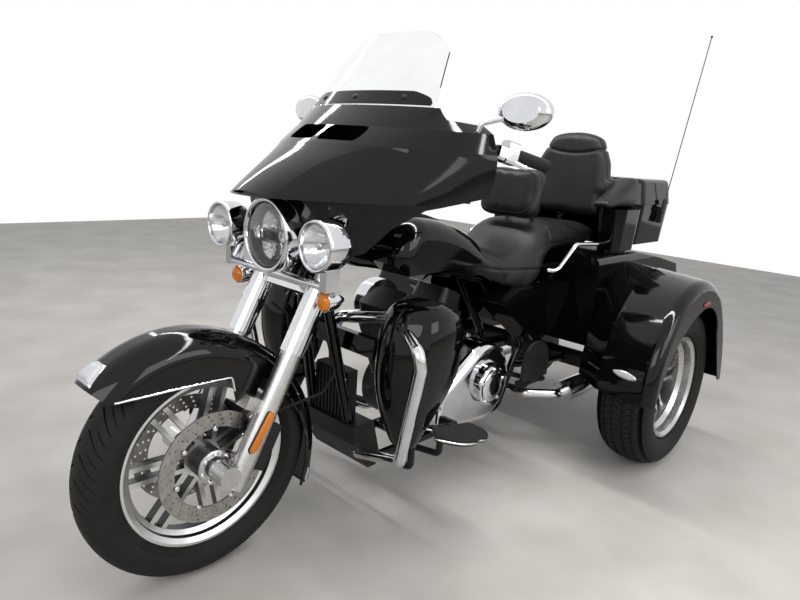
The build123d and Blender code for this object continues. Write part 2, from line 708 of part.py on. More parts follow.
with BuildPart() as hand_levers:
    switch_plane = Plane(origin=GRIP_INNER + grip_way * 4, x_dir=(0, 0, 1), z_dir=grip_way)
    with BuildSketch(switch_plane):
        RectangleRounded(62, 40, 9)
    extrude(amount=38)
    lever_root = Vector(*spot(374, 668, 1158))
    lever_way = Vector(*spot(424, 754, 1122)) - lever_root
    lever_plane = Plane(origin=lever_root, x_dir=(0, 0, 1), z_dir=lever_way.normalized())
    with BuildSketch(lever_plane):
        Ellipse(11, 7)
    with BuildSketch(lever_plane.offset(lever_way.length)):
        Ellipse(7, 5)
    loft()
    with Locations(spot(424, 754, 1122)):
        Sphere(8)
    with Locations(Plane(origin=spot(381, 686, 1160), x_dir=(0, 0, 1), z_dir=grip_way)):
        Box(28, 46, 30)
    add(handlebar.part, mode=Mode.SUBTRACT)
    add(grips.part, mode=Mode.SUBTRACT)
    mirror(about=Plane.YZ)
save(hand_levers.part, "hand_levers")

# Mirrors: an oval bright head on a bent stem at each side of the fairing
MIRROR_CENTRE = spot(450, 678, 1266)
MIRROR_WIDTH = 152
MIRROR_HEIGHT = 96
MIRROR_DEPTH = 42
with BuildPart() as mirrors:
    mirror_plane = Plane(origin=MIRROR_CENTRE, x_dir=(1, 0.15, 0), z_dir=(0.15, -1, 0))
    with BuildSketch(mirror_plane.offset(-MIRROR_DEPTH * 0.4)):
        Ellipse(MIRROR_WIDTH / 2, MIRROR_HEIGHT / 2)
    with BuildSketch(mirror_plane):
        Ellipse(MIRROR_WIDTH / 2, MIRROR_HEIGHT / 2)
    with BuildSketch(mirror_plane.offset(MIRROR_DEPTH * 0.6)):
        Ellipse(MIRROR_WIDTH * 0.34, MIRROR_HEIGHT * 0.32)
    loft()
    add(make_tube([spot(352, 612, 1196), spot(362, 616, 1230), spot(398, 650, 1244), spot(430, 680, 1258)], 7, 14))
    mirror(about=Plane.YZ)
    add(roof_outside.part, mode=Mode.SUBTRACT)
    add(handlebar.part, mode=Mode.SUBTRACT)
save(mirrors.part, "mirrors")

# Dash: the panel that closes the fairing's rear, with its dials, screen and speakers
DASH_DISTANCE = 588
DASH_THICKNESS = 10
DIAL_RADIUS = 50
SMALL_DIAL_RADIUS = 27
SPEAKER_RADIUS = 72
with BuildPart() as fairing_dash:
    add(fairing_block(inner_hood, PANEL_WALL + SEAT_GAP))
    add(fairing_block(inner_roof, PANEL_WALL + SEAT_GAP, straight=True))
    add(deck_cut(PANEL_WALL + SEAT_GAP), mode=Mode.SUBTRACT)
    dash_front = aft(DASH_DISTANCE)
    with BuildSketch(across_plane(dash_front)):
        with Locations((0, 1136)):
            Rectangle(900, 236)
    extrude(amount=-DASH_THICKNESS, mode=Mode.INTERSECT)
    with BuildSketch(across_plane(dash_front + DASH_THICKNESS)):
        with Locations((64, 1182), (-64, 1182)):
            Circle(DIAL_RADIUS)
        with Locations((152, 1192), (-152, 1192)):
            Circle(SMALL_DIAL_RADIUS)
        with Locations((262, 1108), (-262, 1108)):
            Circle(SPEAKER_RADIUS)
        with Locations((0, 1080)):
            RectangleRounded(210, 100, 10)
    extrude(amount=-14)
    bar_tunnel = make_tube(bar_points, HANDLEBAR_RADIUS + 2 * STEER_GAP, 38)
    add(bar_tunnel, mode=Mode.SUBTRACT)
    add(mirror(bar_tunnel, about=Plane.YZ, mode=Mode.PRIVATE), mode=Mode.SUBTRACT)
    add(fairing_shell.part, mode=Mode.SUBTRACT)
save(fairing_dash.part, "fairing_dash")

# Rear body: the trunk between the wheels, and the arched fenders beside it
TAIL_LAMP_DEPTH = 10
TRUNK_FRONT = 1500
TRUNK_REAR = WHEELBASE + REAR_OVERHANG - TAIL_LAMP_DEPTH
TRUNK_HALF_WIDTH = 330
TRUNK_FLOOR = 440
TRUNK_TOP = 795
TRUNK_WALL = 12
DOOR_HALF_WIDTH = 250
DOOR_LOW = 482
DOOR_HIGH = 690
DOOR_GAP = 6
DOOR_THICKNESS = 14

# Frame: neck, backbone, two down tubes and the cradle that holds the engine
FRAME_TUBE_RADIUS = 16
BACKBONE_RADIUS = 27
CRADLE_HALF_WIDTH = 92
CRADLE_HEIGHT = 168
neck_start = LOWER_CLAMP_HEIGHT + CLAMP_THICKNESS + STEER_GAP
neck_end = UPPER_CLAMP_HEIGHT - STEER_GAP
neck_plane = fork_plane(neck_start)
neck_low = neck_plane.from_local_coords((0, STEM_OFFSET, 84))
neck_high = neck_plane.from_local_coords((0, STEM_OFFSET, neck_end - neck_start - 32))

with BuildPart() as frame:
    with BuildSketch(neck_plane):
        with Locations((0, STEM_OFFSET)):
            Circle(NECK_RADIUS)
    extrude(amount=neck_end - neck_start)
    add(make_tube([tuple(neck_high), spot(0, 520, 818), spot(0, 985, 737)], BACKBONE_RADIUS, 120))
    for hand in (1, -1):
        side_points = [
            tuple(neck_low),
            spot(hand * 60, 372, 690),
            spot(hand * CRADLE_HALF_WIDTH, 470, 240),
            spot(hand * CRADLE_HALF_WIDTH, 545, CRADLE_HEIGHT),
            spot(hand * CRADLE_HALF_WIDTH, 1250, CRADLE_HEIGHT),
            spot(hand * (CRADLE_HALF_WIDTH + 8), 1370, 420),
            spot(hand * 60, 1120, 700),
            spot(0, 985, 737),
        ]
        add(make_tube(side_points, FRAME_TUBE_RADIUS, 45))
        add(make_tube([spot(hand * 60, 1120, 700), spot(hand * 150, 1330, 742), spot(hand * 150, TRUNK_FRONT, 742)], 14, 60))
        add(make_tube([spot(hand * 98, 1330, 340), spot(hand * 150, 1440, 340), spot(hand * 150, 1668, 323)], 20, 60))
    with Locations(Plane(origin=spot(0, 760, CRADLE_HEIGHT), x_dir=(0, 1, 0), z_dir=(1, 0, 0))):
        Cylinder(FRAME_TUBE_RADIUS, 2 * CRADLE_HALF_WIDTH)
    with BuildSketch(neck_plane.offset(-5)):
        with Locations((0, STEM_OFFSET)):
            Circle(STEM_RADIUS + RUNNING_CLEARANCE)
    extrude(amount=neck_end - neck_start + 10, mode=Mode.SUBTRACT)
save(frame.part, "frame")

# Engine: crankcase and gearbox in one, two finned cylinders in a V, and the bright primary case
CRANK = (800, 325)
CRANKCASE_RADIUS = 112
V_HALF_ANGLE = 22.5
FIN_RADIUS = 80
FIN_THICKNESS = 4
FIN_PITCH = 13
FIN_COUNT = 13
BARREL_RADIUS = 60
BARREL_START = 92
HEAD_START = BARREL_START + FIN_COUNT * FIN_PITCH
HEAD_LENGTH = 62
ROCKER_LENGTH = 56
CASE_LEFT = 122
CASE_RIGHT = -108
CLUTCH = (985, 365)

with BuildPart() as engine_cases:
    with BuildSketch(side_plane(CASE_RIGHT)):
        with Locations((aft(CRANK[0]), CRANK[1])):
            Circle(CRANKCASE_RADIUS)
        with BuildLine():
            Polyline(
                (aft(CRANK[0]), CRANK[1] - CRANKCASE_RADIUS),
                (aft(1180), 222),
                (aft(1240), 290),
                (aft(1215), 430),
                (aft(1010), 480),
                (aft(CRANK[0]), CRANK[1] + CRANKCASE_RADIUS),
                close=True,
            )
        make_face()
    extrude(amount=CASE_LEFT - CASE_RIGHT)
save(engine_cases.part, "engine_cases")

with BuildPart() as cylinders:
    for lean_way in (-1, 1):
        angle = radians(V_HALF_ANGLE) * lean_way
        way = Vector(0, sin(angle), cos(angle))
        foot = Vector(*spot(0, *CRANK))
        barrel_plane = Plane(origin=foot + way * BARREL_START, x_dir=(1, 0, 0), z_dir=way)
        with BuildSketch(barrel_plane):
            Circle(BARREL_RADIUS)
        extrude(amount=HEAD_START - BARREL_START)
        for fin in range(FIN_COUNT):
            with BuildSketch(barrel_plane.offset(fin * FIN_PITCH + 4)):
                RectangleRounded(2 * FIN_RADIUS, 2 * FIN_RADIUS, 30)
            extrude(amount=FIN_THICKNESS)
        head_plane = Plane(origin=foot + way * HEAD_START, x_dir=(1, 0, 0), z_dir=way)
        with BuildSketch(head_plane):
            RectangleRounded(2 * FIN_RADIUS + 8, 2 * FIN_RADIUS - 12, 26)
        extrude(amount=HEAD_LENGTH)
        with BuildSketch(head_plane.offset(HEAD_LENGTH)):
            RectangleRounded(2 * FIN_RADIUS - 6, 2 * FIN_RADIUS - 34, 30)
        extrude(amount=ROCKER_LENGTH, taper=8)
    add(engine_cases.part, mode=Mode.SUBTRACT)
save(cylinders.part, "cylinders")

PRIMARY_DEPTH = 96
with BuildPart() as primary_cover:
    with BuildSketch(side_plane(CASE_LEFT)):
        with Locations((aft(CRANK[0]), CRANK[1] - 8)):
            Circle(90)
        with Locations((aft(CLUTCH[0]), CLUTCH[1])):
            Circle(148)
        make_hull()
    extrude(amount=PRIMARY_DEPTH)
    outer_edges = primary_cover.faces().sort_by(Axis.X)[-1].edges()
    fillet(outer_edges, 34)
    with BuildSketch(side_plane(CASE_LEFT + PRIMARY_DEPTH)):
        with Locations((aft(CLUTCH[0] - 4), CLUTCH[1] + 16)):
            Circle(76)
    extrude(amount=20, taper=12)
save(primary_cover.part, "primary_cover")

with BuildPart() as air_cleaner:
    with BuildSketch(side_plane(-150)):
        with Locations((aft(CRANK[0] + 4), 600)):
            Circle(92)
    extrude(amount=-62)
    fillet(air_cleaner.faces().sort_by(Axis.X)[0].edges(), 18)
    with BuildSketch(side_plane(-150)):
        with Locations((aft(CRANK[0]), 598)):
            Circle(20)
    extrude(amount=150)
    add(cylinders.part, mode=Mode.SUBTRACT)
save(air_cleaner.part, "air_cleaner")

# Exhaust: a header from each cylinder, joined low down, and a silencer on each side
PIPE_RADIUS = 22
SILENCER_RADIUS = 45
SILENCER_X = 255
SILENCER_HEIGHT = 228
with BuildPart() as exhaust:
    front_header = [
        spot(-60, 655, 600),
        spot(-150, 585, 585),
        spot(-155, 600, 300),
        spot(-155, 760, 222),
        spot(-155, 1345, 225),
        spot(-SILENCER_X, 1430, SILENCER_HEIGHT),
        spot(-SILENCER_X, 1500, SILENCER_HEIGHT),
    ]
    rear_header = [spot(-60, 985, 560), spot(-155, 1065, 545), spot(-150, 1130, 330), spot(-158, 1262, 224)]
    crossover = [spot(-151, 1338, 225), spot(165, 1346, 226), spot(SILENCER_X, 1440, SILENCER_HEIGHT), spot(SILENCER_X, 1500, SILENCER_HEIGHT)]
    add(make_tube(front_header, PIPE_RADIUS, 40))
    add(make_tube(rear_header, PIPE_RADIUS - 2, 45))
    add(make_tube(crossover, PIPE_RADIUS - 3, 40))
    for hand in (1, -1):
        with BuildSketch(across_plane(aft(1480))):
            with Locations((hand * SILENCER_X, SILENCER_HEIGHT)):
                Circle(SILENCER_RADIUS)
        extrude(amount=-600)
        with BuildSketch(across_plane(aft(2080))):
            with Locations((hand * SILENCER_X, SILENCER_HEIGHT)):
                Circle(PIPE_RADIUS + 6)
        extrude(amount=-110)
    add(cylinders.part, mode=Mode.SUBTRACT)
save(exhaust.part, "exhaust")

# Fuel tank, with a raised console and a small lid along its top
TANK_HALF_WIDTH = 165
TANK_EDGE_RADIUS = 62
with BuildPart() as fuel_tank:
    with BuildSketch(side_plane()):
        with BuildLine():
            tank_base = Polyline((aft(956), 868), (aft(956), 792), (aft(600), 778), (aft(562), 812))
            ThreePointArc((aft(562), 812), (aft(585), 905), (aft(668), 948))
            ThreePointArc((aft(668), 948), (aft(820), 925), (aft(956), 868))
        make_face()
    extrude(amount=TANK_HALF_WIDTH, both=True)
    top_edges = fuel_tank.edges().filter_by(GeomType.CIRCLE)
    fillet(top_edges, TANK_EDGE_RADIUS)
    with BuildSketch(side_plane()):
        with BuildLine():
            Polyline((aft(540), 700), (aft(540), 858), (aft(1000), 808), (aft(1000), 700), close=True)
        make_face()
    extrude(amount=BACKBONE_RADIUS + 8, both=True, mode=Mode.SUBTRACT)
save(fuel_tank.part, "fuel_tank")

CONSOLE_HALF_WIDTH = 40
CONSOLE_HEIGHT = 14
with BuildPart() as tank_console:
    with BuildSketch(side_plane()):
        with BuildLine():
            Polyline((aft(956), 868), (aft(956), 868 + CONSOLE_HEIGHT))
            ThreePointArc((aft(956), 868 + CONSOLE_HEIGHT), (aft(820), 925 + CONSOLE_HEIGHT), (aft(680), 947 + CONSOLE_HEIGHT))
            Polyline((aft(680), 947 + CONSOLE_HEIGHT), (aft(660), 946), (aft(668), 930), (aft(956), 868))
        make_face()
    extrude(amount=CONSOLE_HALF_WIDTH, both=True)
    add(fuel_tank.part, mode=Mode.SUBTRACT)
save(tank_console.part, "tank_console")

# Hinges of the lid and the door: barrels in a row along a pin, fixed and moving ones by turns
HINGE_RADIUS = 5
HINGE_PIN_RADIUS = 2.5
HINGE_SLACK = 1
BARREL_PITCH = 50
BARREL_LENGTH = BARREL_PITCH - 2 * HINGE_SLACK
FIXED_BARRELS = (-2, 0, 2)
MOVING_BARRELS = (-1, 1)


def barrel_row(hinge_plane, places, radius, length):
    """Cylinders of one length set along the hinge's line."""
    with BuildPart() as row:
        for place in places:
            with Locations(hinge_plane.offset(place * BARREL_PITCH)):
                Cylinder(radius, length)
    return row.part


# Seat: the rider's dished place and the passenger's raised one
SEAT_HALF_WIDTH = 192
SKIRT_INNER_X = 166
with BuildPart() as seat:
    with BuildSketch(side_plane()):
        with BuildLine():
            ThreePointArc((aft(958), 858), (aft(1110), 806), (aft(1262), 868))
            ThreePointArc((aft(1262), 868), (aft(1290), 900), (aft(1345), 908))
            Polyline(
                (aft(1345), 908),
                (aft(1680), 890),
                (aft(1770), 902),
                (aft(1770), 800),
                (aft(1496), 800),
                (aft(1400), 742),
                (aft(1279), 632),
                (aft(1130), 628),
                (aft(996), 672),
                (aft(958), 800),
                (aft(958), 858),
            )
        make_face()
    extrude(amount=SEAT_HALF_WIDTH, both=True)
    with BuildSketch(Plane.XY.offset(600)):
        with BuildLine():
            front = (112, aft(950))
            wide = (SEAT_HALF_WIDTH, aft(1110))
            narrow = (166, aft(1400))
            rear = (166, aft(1775))
            ThreePointArc(front, (160, aft(1020)), wide)
            ThreePointArc(wide, (186, aft(1260)), narrow)
            Line(narrow, rear)
            Line(rear, (-rear[0], rear[1]))
            Line((-rear[0], rear[1]), (-narrow[0], narrow[1]))
            ThreePointArc((-narrow[0], narrow[1]), (-186, aft(1260)), (-wide[0], wide[1]))
            ThreePointArc((-wide[0], wide[1]), (-160, aft(1020)), (-front[0], front[1]))
            Line((-front[0], front[1]), front)
        make_face()
    extrude(amount=400, mode=Mode.INTERSECT)
    with Locations(spot(0, 1210, 685)):
        Box(2 * SKIRT_INNER_X, 420, 166, mode=Mode.SUBTRACT)
    add(frame.part, mode=Mode.SUBTRACT)
save(seat.part, "seat")

with BuildPart() as rider_backrest:
    pad_plane = Plane(origin=spot(0, 1346, 1018), x_dir=(1, 0, 0), z_dir=(0, -cos(radians(12)), sin(radians(12))))
    with BuildSketch(pad_plane.offset(-36)):
        RectangleRounded(268, 196, 44)
    extrude(amount=72)
    fillet(rider_backrest.faces().sort_by(Axis.Y)[0].edges(), 22)
save(rider_backrest.part, "rider_backrest")

with BuildPart() as backrest_post:
    post_foot = spot(0, 1345, 900)
    for hand in (1, -1):
        add(make_tube([spot(hand * 60, 1416, 740), spot(hand * 60, 1416, 930), spot(hand * 60, 1393, 1010)], 8, 20))
    with Locations(spot(0, 1416, 745)):
        Box(320, 24, 12)
    add(frame.part, mode=Mode.SUBTRACT)
    add(seat.part, mode=Mode.SUBTRACT)
    add(rider_backrest.part, mode=Mode.SUBTRACT)
save(backrest_post.part, "backrest_post")

# Trunk: a hollow body between the rear wheels, its door hinged along the bottom at the rear
DOOR_HINGE_HEIGHT = DOOR_LOW - HINGE_RADIUS + HINGE_SLACK
door_hinge = Plane(origin=spot(0, TRUNK_REAR, DOOR_HINGE_HEIGHT), x_dir=(0, 1, 0), z_dir=(1, 0, 0))
with BuildPart() as trunk_body:
    with BuildSketch(side_plane()):
        with BuildLine():
            Polyline(
                (aft(TRUNK_FRONT), TRUNK_FLOOR),
                (aft(TRUNK_FRONT), TRUNK_TOP),
                (aft(1860), TRUNK_TOP),
                (aft(2120), 752),
                (aft(TRUNK_REAR - 40), 712),
                (aft(TRUNK_REAR), 640),
                (aft(TRUNK_REAR), TRUNK_FLOOR + 30),
                (aft(TRUNK_REAR - 60), TRUNK_FLOOR),
                close=True,
            )
        make_face()
    extrude(amount=TRUNK_HALF_WIDTH, both=True)
    long_edges = trunk_body.edges().filter_by(Axis.Y).group_by(Axis.Z)[-1]
    fillet(long_edges, 30)
    trunk_room_front = 1850
    trunk_room_rear = TRUNK_REAR - 30
    with Locations(spot(0, (trunk_room_front + trunk_room_rear) / 2, (TRUNK_FLOOR + TRUNK_WALL + 700) / 2)):
        Box(
            2 * (TRUNK_HALF_WIDTH - TRUNK_WALL - 10),
            trunk_room_rear - trunk_room_front,
            700 - TRUNK_FLOOR - TRUNK_WALL,
            mode=Mode.SUBTRACT,
        )
    with Locations(spot(0, TRUNK_REAR, (DOOR_LOW + DOOR_HIGH) / 2)):
        Box(2 * (DOOR_HALF_WIDTH + DOOR_GAP), 160, DOOR_HIGH - DOOR_LOW + 2 * DOOR_GAP, mode=Mode.SUBTRACT)
    add(barrel_row(door_hinge, MOVING_BARRELS, HINGE_RADIUS + HINGE_SLACK, BARREL_PITCH), mode=Mode.SUBTRACT)
    add(barrel_row(door_hinge, FIXED_BARRELS, HINGE_RADIUS, BARREL_LENGTH))
    add(barrel_row(door_hinge, (0,), HINGE_PIN_RADIUS, 5 * BARREL_PITCH))
save(trunk_body.part, "trunk_body")

with BuildPart() as trunk_door:
    with Locations(spot(0, TRUNK_REAR - DOOR_THICKNESS / 2, (DOOR_LOW + DOOR_HIGH) / 2)):
        Box(2 * DOOR_HALF_WIDTH, DOOR_THICKNESS, DOOR_HIGH - DOOR_LOW)
    with BuildSketch(across_plane(aft(TRUNK_REAR))):
        with Locations((0, DOOR_HIGH - 34)):
            RectangleRounded(150, 22, 8)
    extrude(amount=-8)
    add(barrel_row(door_hinge, FIXED_BARRELS, HINGE_RADIUS + HINGE_SLACK, BARREL_PITCH), mode=Mode.SUBTRACT)
    add(barrel_row(door_hinge, MOVING_BARRELS, HINGE_RADIUS, BARREL_LENGTH))
    add(barrel_row(door_hinge, (0,), HINGE_PIN_RADIUS + HINGE_SLACK / 2, 6 * BARREL_PITCH), mode=Mode.SUBTRACT)
save(trunk_door.part, "trunk_door")

with BuildPart() as tail_lamps:
    for hand in (1, -1):
        with BuildSketch(across_plane(aft(TRUNK_REAR))):
            with Locations((hand * 292, 560)):
                RectangleRounded(60, 130, 18)
        extrude(amount=-TAIL_LAMP_DEPTH)
save(tail_lamps.part, "tail_lamps")

# Rear fenders: arched shells over the wheels, open below and cut away round the tyre outside
FENDER_OUTER_X = OVERALL_WIDTH / 2
REAR_FENDER_WALL = 5
FENDER_ROUNDING = 36


ARCH_MIDDLE = (1655, 330)
FENDER_INNER_X = 470
OUTER_ARCH = [(1262, 354), (1330, 622), (1560, 757), (1872, 640), (2044, 303)]
CROWN_ARCH = [(1314, 330), (1410, 606), (1640, 757), (1905, 668), (2044, 303)]
STEP_ARCH = [(1312, 330), (1408, 598), (1640, 752), (1905, 665), (2040, 303)]
INNER_ARCH = [(1452, 330), (1540, 600), (1700, 748), (1905, 665), (2040, 303)]
OPENING_POINTS = [(1296, 340), (1430, 560), (1632, 655), (1856, 530), (1992, 290)]


def drawn_in(point, inset):
    """A point of the arch moved towards its middle, as a place in the side view."""
    reach = Vector(point[0] - ARCH_MIDDLE[0], point[1] - ARCH_MIDDLE[1])
    share = 1 - inset / reach.length
    return (aft(ARCH_MIDDLE[0] + reach.X * share), ARCH_MIDDLE[1] + reach.Y * share)


def arch_outline(points, inset, foot):
    """Three arcs over the wheel, closed below by straight lines that reach down to the foot."""
    placed = [drawn_in(point, inset) for point in points]
    front_arc = ThreePointArc(*placed[:3])
    top_arc = TangentArc(placed[2], placed[3], tangent=front_arc % 1)
    TangentArc(placed[3], placed[4], tangent=top_arc % 1)
    Polyline(placed[-1], (placed[-1][0], placed[-1][1] - foot), (placed[0][0], placed[0][1] - foot), placed[0])


def arch_block(inner_x, inner_points, outer_x, outer_points, inset, foot, rounded):
    """The solid between two arches that stand at different distances from the middle."""
    with BuildPart() as block:
        for x, points in ((inner_x, inner_points), (outer_x, outer_points)):
            with BuildSketch(side_plane(x)):
                with BuildLine():
                    arch_outline(points, inset, foot)
                make_face()
        loft(ruled=True)
        if rounded:
            rim = block.faces().sort_by(Axis.X)[-1].edges().sort_by(Axis.Z)[1:]
            fillet(rim, rounded - inset)
    return block.part


with BuildPart() as left_fender:
    wall = REAR_FENDER_WALL
    add(arch_block(FENDER_INNER_X, CROWN_ARCH, FENDER_OUTER_X, OUTER_ARCH, 0, 60, FENDER_ROUNDING))
    add(arch_block(TRUNK_HALF_WIDTH, INNER_ARCH, FENDER_INNER_X, STEP_ARCH, 0, 60, 0))
    add(
        arch_block(FENDER_INNER_X + wall, CROWN_ARCH, FENDER_OUTER_X - wall, OUTER_ARCH, wall, 80, FENDER_ROUNDING),
        mode=Mode.SUBTRACT,
    )
    add(
        arch_block(TRUNK_HALF_WIDTH + 3 * wall, INNER_ARCH, FENDER_INNER_X + wall, STEP_ARCH, wall, 80, 0),
        mode=Mode.SUBTRACT,
    )
    with BuildSketch(side_plane(TRUNK_HALF_WIDTH - 10)):
        with BuildLine():
            Polyline((aft(1200), 358), (aft(2100), 296), (aft(2100), 150), (aft(1200), 150), close=True)
        make_face()
    extrude(amount=FENDER_OUTER_X, mode=Mode.SUBTRACT)
    with BuildSketch(side_plane(FENDER_OUTER_X - 60)):
        with BuildLine():
            arch_outline(OPENING_POINTS, 0, 60)
        make_face()
    extrude(amount=120, mode=Mode.SUBTRACT)

AXLE_TUBE_RADIUS = 36
with BuildPart() as rear_fenders:
    add(left_fender.part)
    with Locations(Plane(origin=(TRUNK_HALF_WIDTH, REAR_AXLE_Y, REAR_TYRE_RADIUS), x_dir=(0, 1, 0), z_dir=(1, 0, 0))):
        Cylinder(AXLE_TUBE_RADIUS + STEER_GAP, 80, mode=Mode.SUBTRACT)
    mirror(about=Plane.YZ)
save(rear_fenders.part, "rear_fenders")

# Rear axle: a housing across the machine, whose ends run in the wheels' hubs
hub_face = REAR_WHEEL_X - REAR_SPOKE_X - REAR_HUB_HALF
with BuildPart() as rear_axle:
    with Locations(Plane(origin=(0, REAR_AXLE_Y, REAR_TYRE_RADIUS), x_dir=(0, 1, 0), z_dir=(1, 0, 0))):
        Cylinder(AXLE_TUBE_RADIUS, 2 * (hub_face - STEER_GAP))
        Cylinder(HALF_SHAFT_RADIUS, 2 * (hub_face + 2 * REAR_HUB_HALF - HUB_CAP - STEER_GAP))
        Cylinder(96, 130)
    add(frame.part, mode=Mode.SUBTRACT)
save(rear_axle.part, "rear_axle")

# Lower fairings: a rounded black pod ahead of each of the rider's legs
GUARD_RADIUS = 17
GUARD_POINTS = [
    spot(84, 436, 660),
    spot(250, 470, 690),
    spot(398, 396, 640),
    spot(404, 402, 596),
    spot(330, 427, 296),
    spot(285, 478, 262),
    spot(104, 480, 218),
]
guard_tube = make_tube(GUARD_POINTS, GUARD_RADIUS, 28)
POD_LEVELS = [
    (312, 240, 318, 468, 522),
    (400, 212, 352, 432, 558),
    (500, 200, 374, 404, 606),
    (640, 200, 386, 408, 622),
    (715, 215, 366, 440, 600),
    (738, 240, 340, 470, 570),
]

with BuildPart() as left_pod:
    for height, inner_x, outer_x, front, rear in POD_LEVELS:
        with BuildSketch(Plane.XY.offset(height)):
            with BuildLine():
                depth = rear - front
                inner_corner = (inner_x, aft(front + 0.18 * depth))
                nose = (inner_x * 0.55 + outer_x * 0.45, aft(front))
                outer_corner = (outer_x - 8, aft(front + 0.25 * depth))
                front_arc = ThreePointArc(inner_corner, nose, outer_corner)
                side_arc = ThreePointArc(outer_corner, (outer_x, aft(front + 0.6 * depth)), (outer_x - 18, aft(rear)))
                Polyline(side_arc @ 1, (inner_x, aft(rear - 0.12 * depth)), front_arc @ 0)
            make_face()
    loft(ruled=False)

with BuildPart() as lower_fairings:
    add(left_pod.part)
    mirror(about=Plane.YZ)
    with Locations(spot(0, 505, 560)):
        Box(2 * 205, 24, 60)
    for hand in (1, -1):
        add(guard_tube if hand > 0 else mirror(guard_tube, about=Plane.YZ, mode=Mode.PRIVATE), mode=Mode.SUBTRACT)
    add(frame.part, mode=Mode.SUBTRACT)
save(lower_fairings.part, "lower_fairings")

with BuildPart() as engine_guard:
    add(guard_tube)
    mirror(about=Plane.YZ)
    add(frame.part, mode=Mode.SUBTRACT)
save(engine_guard.part, "engine_guard")

# Oil cooler: a ribbed panel between the pods, and the box below it
with BuildPart() as oil_cooler:
    with BuildSketch(side_plane()):
        with BuildLine():
            Polyline(
                (aft(432), 322),
                (aft(520), 322),
                (aft(556), 196),
                (aft(540), 166),
                (aft(506), 166),
                (aft(440), 262),
                close=True,
            )
        make_face()
    extrude(amount=128, both=True)
    with Locations(spot(0, 470, 400)):
        Box(150, 40, 160)
    for rib in range(9):
        with Locations(spot(-64 + 16 * rib, 447, 400)):
            Box(6, 10, 150)
    add(frame.part, mode=Mode.SUBTRACT)
    add(engine_guard.part, mode=Mode.SUBTRACT)
save(oil_cooler.part, "oil_cooler")

# Luggage box: a tub behind the passenger, its lid hinged along the right side
BOX_FRONT = 1884
BOX_REAR = 2270
BOX_HALF_WIDTH = 285
BOX_FLOOR = 815
BOX_SPLIT = 990
BOX_TOP = 1100
BOX_WALL = 5
LID_GAP = 2
LID_HINGE_X = 292


def box_outline(inset):
    """The luggage box seen from above: straight sides, a slightly bowed rear and round corners."""
    RectangleRounded(2 * (BOX_HALF_WIDTH - inset), BOX_REAR - BOX_FRONT - 2 * inset, 70 - inset)


box_middle = aft((BOX_FRONT + BOX_REAR) / 2)
lid_hinge = Plane(origin=(-LID_HINGE_X, box_middle, BOX_SPLIT), x_dir=(1, 0, 0), z_dir=(0, 1, 0))
with BuildPart() as luggage_box:
    with BuildSketch(Plane(origin=(0, box_middle, BOX_SPLIT), x_dir=(1, 0, 0), z_dir=(0, 0, -1))):
        box_outline(0)
    extrude(amount=BOX_SPLIT - BOX_FLOOR, taper=5)
    with BuildSketch(Plane(origin=(0, box_middle, BOX_SPLIT), x_dir=(1, 0, 0), z_dir=(0, 0, -1))):
        box_outline(BOX_WALL)
    extrude(amount=BOX_SPLIT - BOX_FLOOR - BOX_WALL, taper=5, mode=Mode.SUBTRACT)
    for hand in (1, -1):
        with Locations(spot(hand * 120, (BOX_FRONT + BOX_REAR) / 2 - 30, (BOX_FLOOR + 760) / 2)):
            Box(40, 220, BOX_FLOOR - 760)
    for place in FIXED_BARRELS:
        with Locations((-(LID_HINGE_X + BOX_HALF_WIDTH) / 2, box_middle + place * BARREL_PITCH, BOX_SPLIT - 3)):
            Box(LID_HINGE_X - BOX_HALF_WIDTH + 2, BARREL_LENGTH, 6)
    add(barrel_row(lid_hinge, FIXED_BARRELS, HINGE_RADIUS, BARREL_LENGTH))
    add(barrel_row(lid_hinge, (0,), HINGE_PIN_RADIUS, 5 * BARREL_PITCH))
    add(trunk_body.part, mode=Mode.SUBTRACT)
save(luggage_box.part, "luggage_box")

with BuildPart() as luggage_lid:
    with BuildSketch(Plane(origin=(0, box_middle, BOX_SPLIT + LID_GAP), x_dir=(1, 0, 0))):
        box_outline(-4)
    extrude(amount=BOX_TOP - BOX_SPLIT - LID_GAP, taper=10)
    fillet(luggage_lid.faces().sort_by(Axis.Z)[-1].edges(), 26)
    with BuildSketch(Plane(origin=(0, box_middle, BOX_SPLIT + LID_GAP), x_dir=(1, 0, 0))):
        box_outline(-4 + BOX_WALL)
    extrude(amount=BOX_TOP - BOX_SPLIT - LID_GAP - BOX_WALL - 6, taper=12, mode=Mode.SUBTRACT)
    add(barrel_row(lid_hinge, FIXED_BARRELS, HINGE_RADIUS + HINGE_SLACK, BARREL_PITCH), mode=Mode.SUBTRACT)
    add(barrel_row(lid_hinge, MOVING_BARRELS, HINGE_RADIUS, BARREL_LENGTH))
    add(barrel_row(lid_hinge, (0,), HINGE_PIN_RADIUS + HINGE_SLACK / 2, 6 * BARREL_PITCH), mode=Mode.SUBTRACT)
save(luggage_lid.part, "luggage_lid")

# Passenger's backrest, its side arms and the speaker pods they sit on
with BuildPart() as speaker_pods:
    for hand in (1, -1):
        with BuildSketch(Plane.XY.offset(806)):
            with Locations((hand * 262, aft(1760))):
                RectangleRounded(96, 170, 30)
        extrude(amount=170, taper=-4)
    with Locations(spot(0, 1867, 830)):
        Box(420, 66, 36)
    add(luggage_box.part, mode=Mode.SUBTRACT)
    add(seat.part, mode=Mode.SUBTRACT)
save(speaker_pods.part, "speaker_pods")

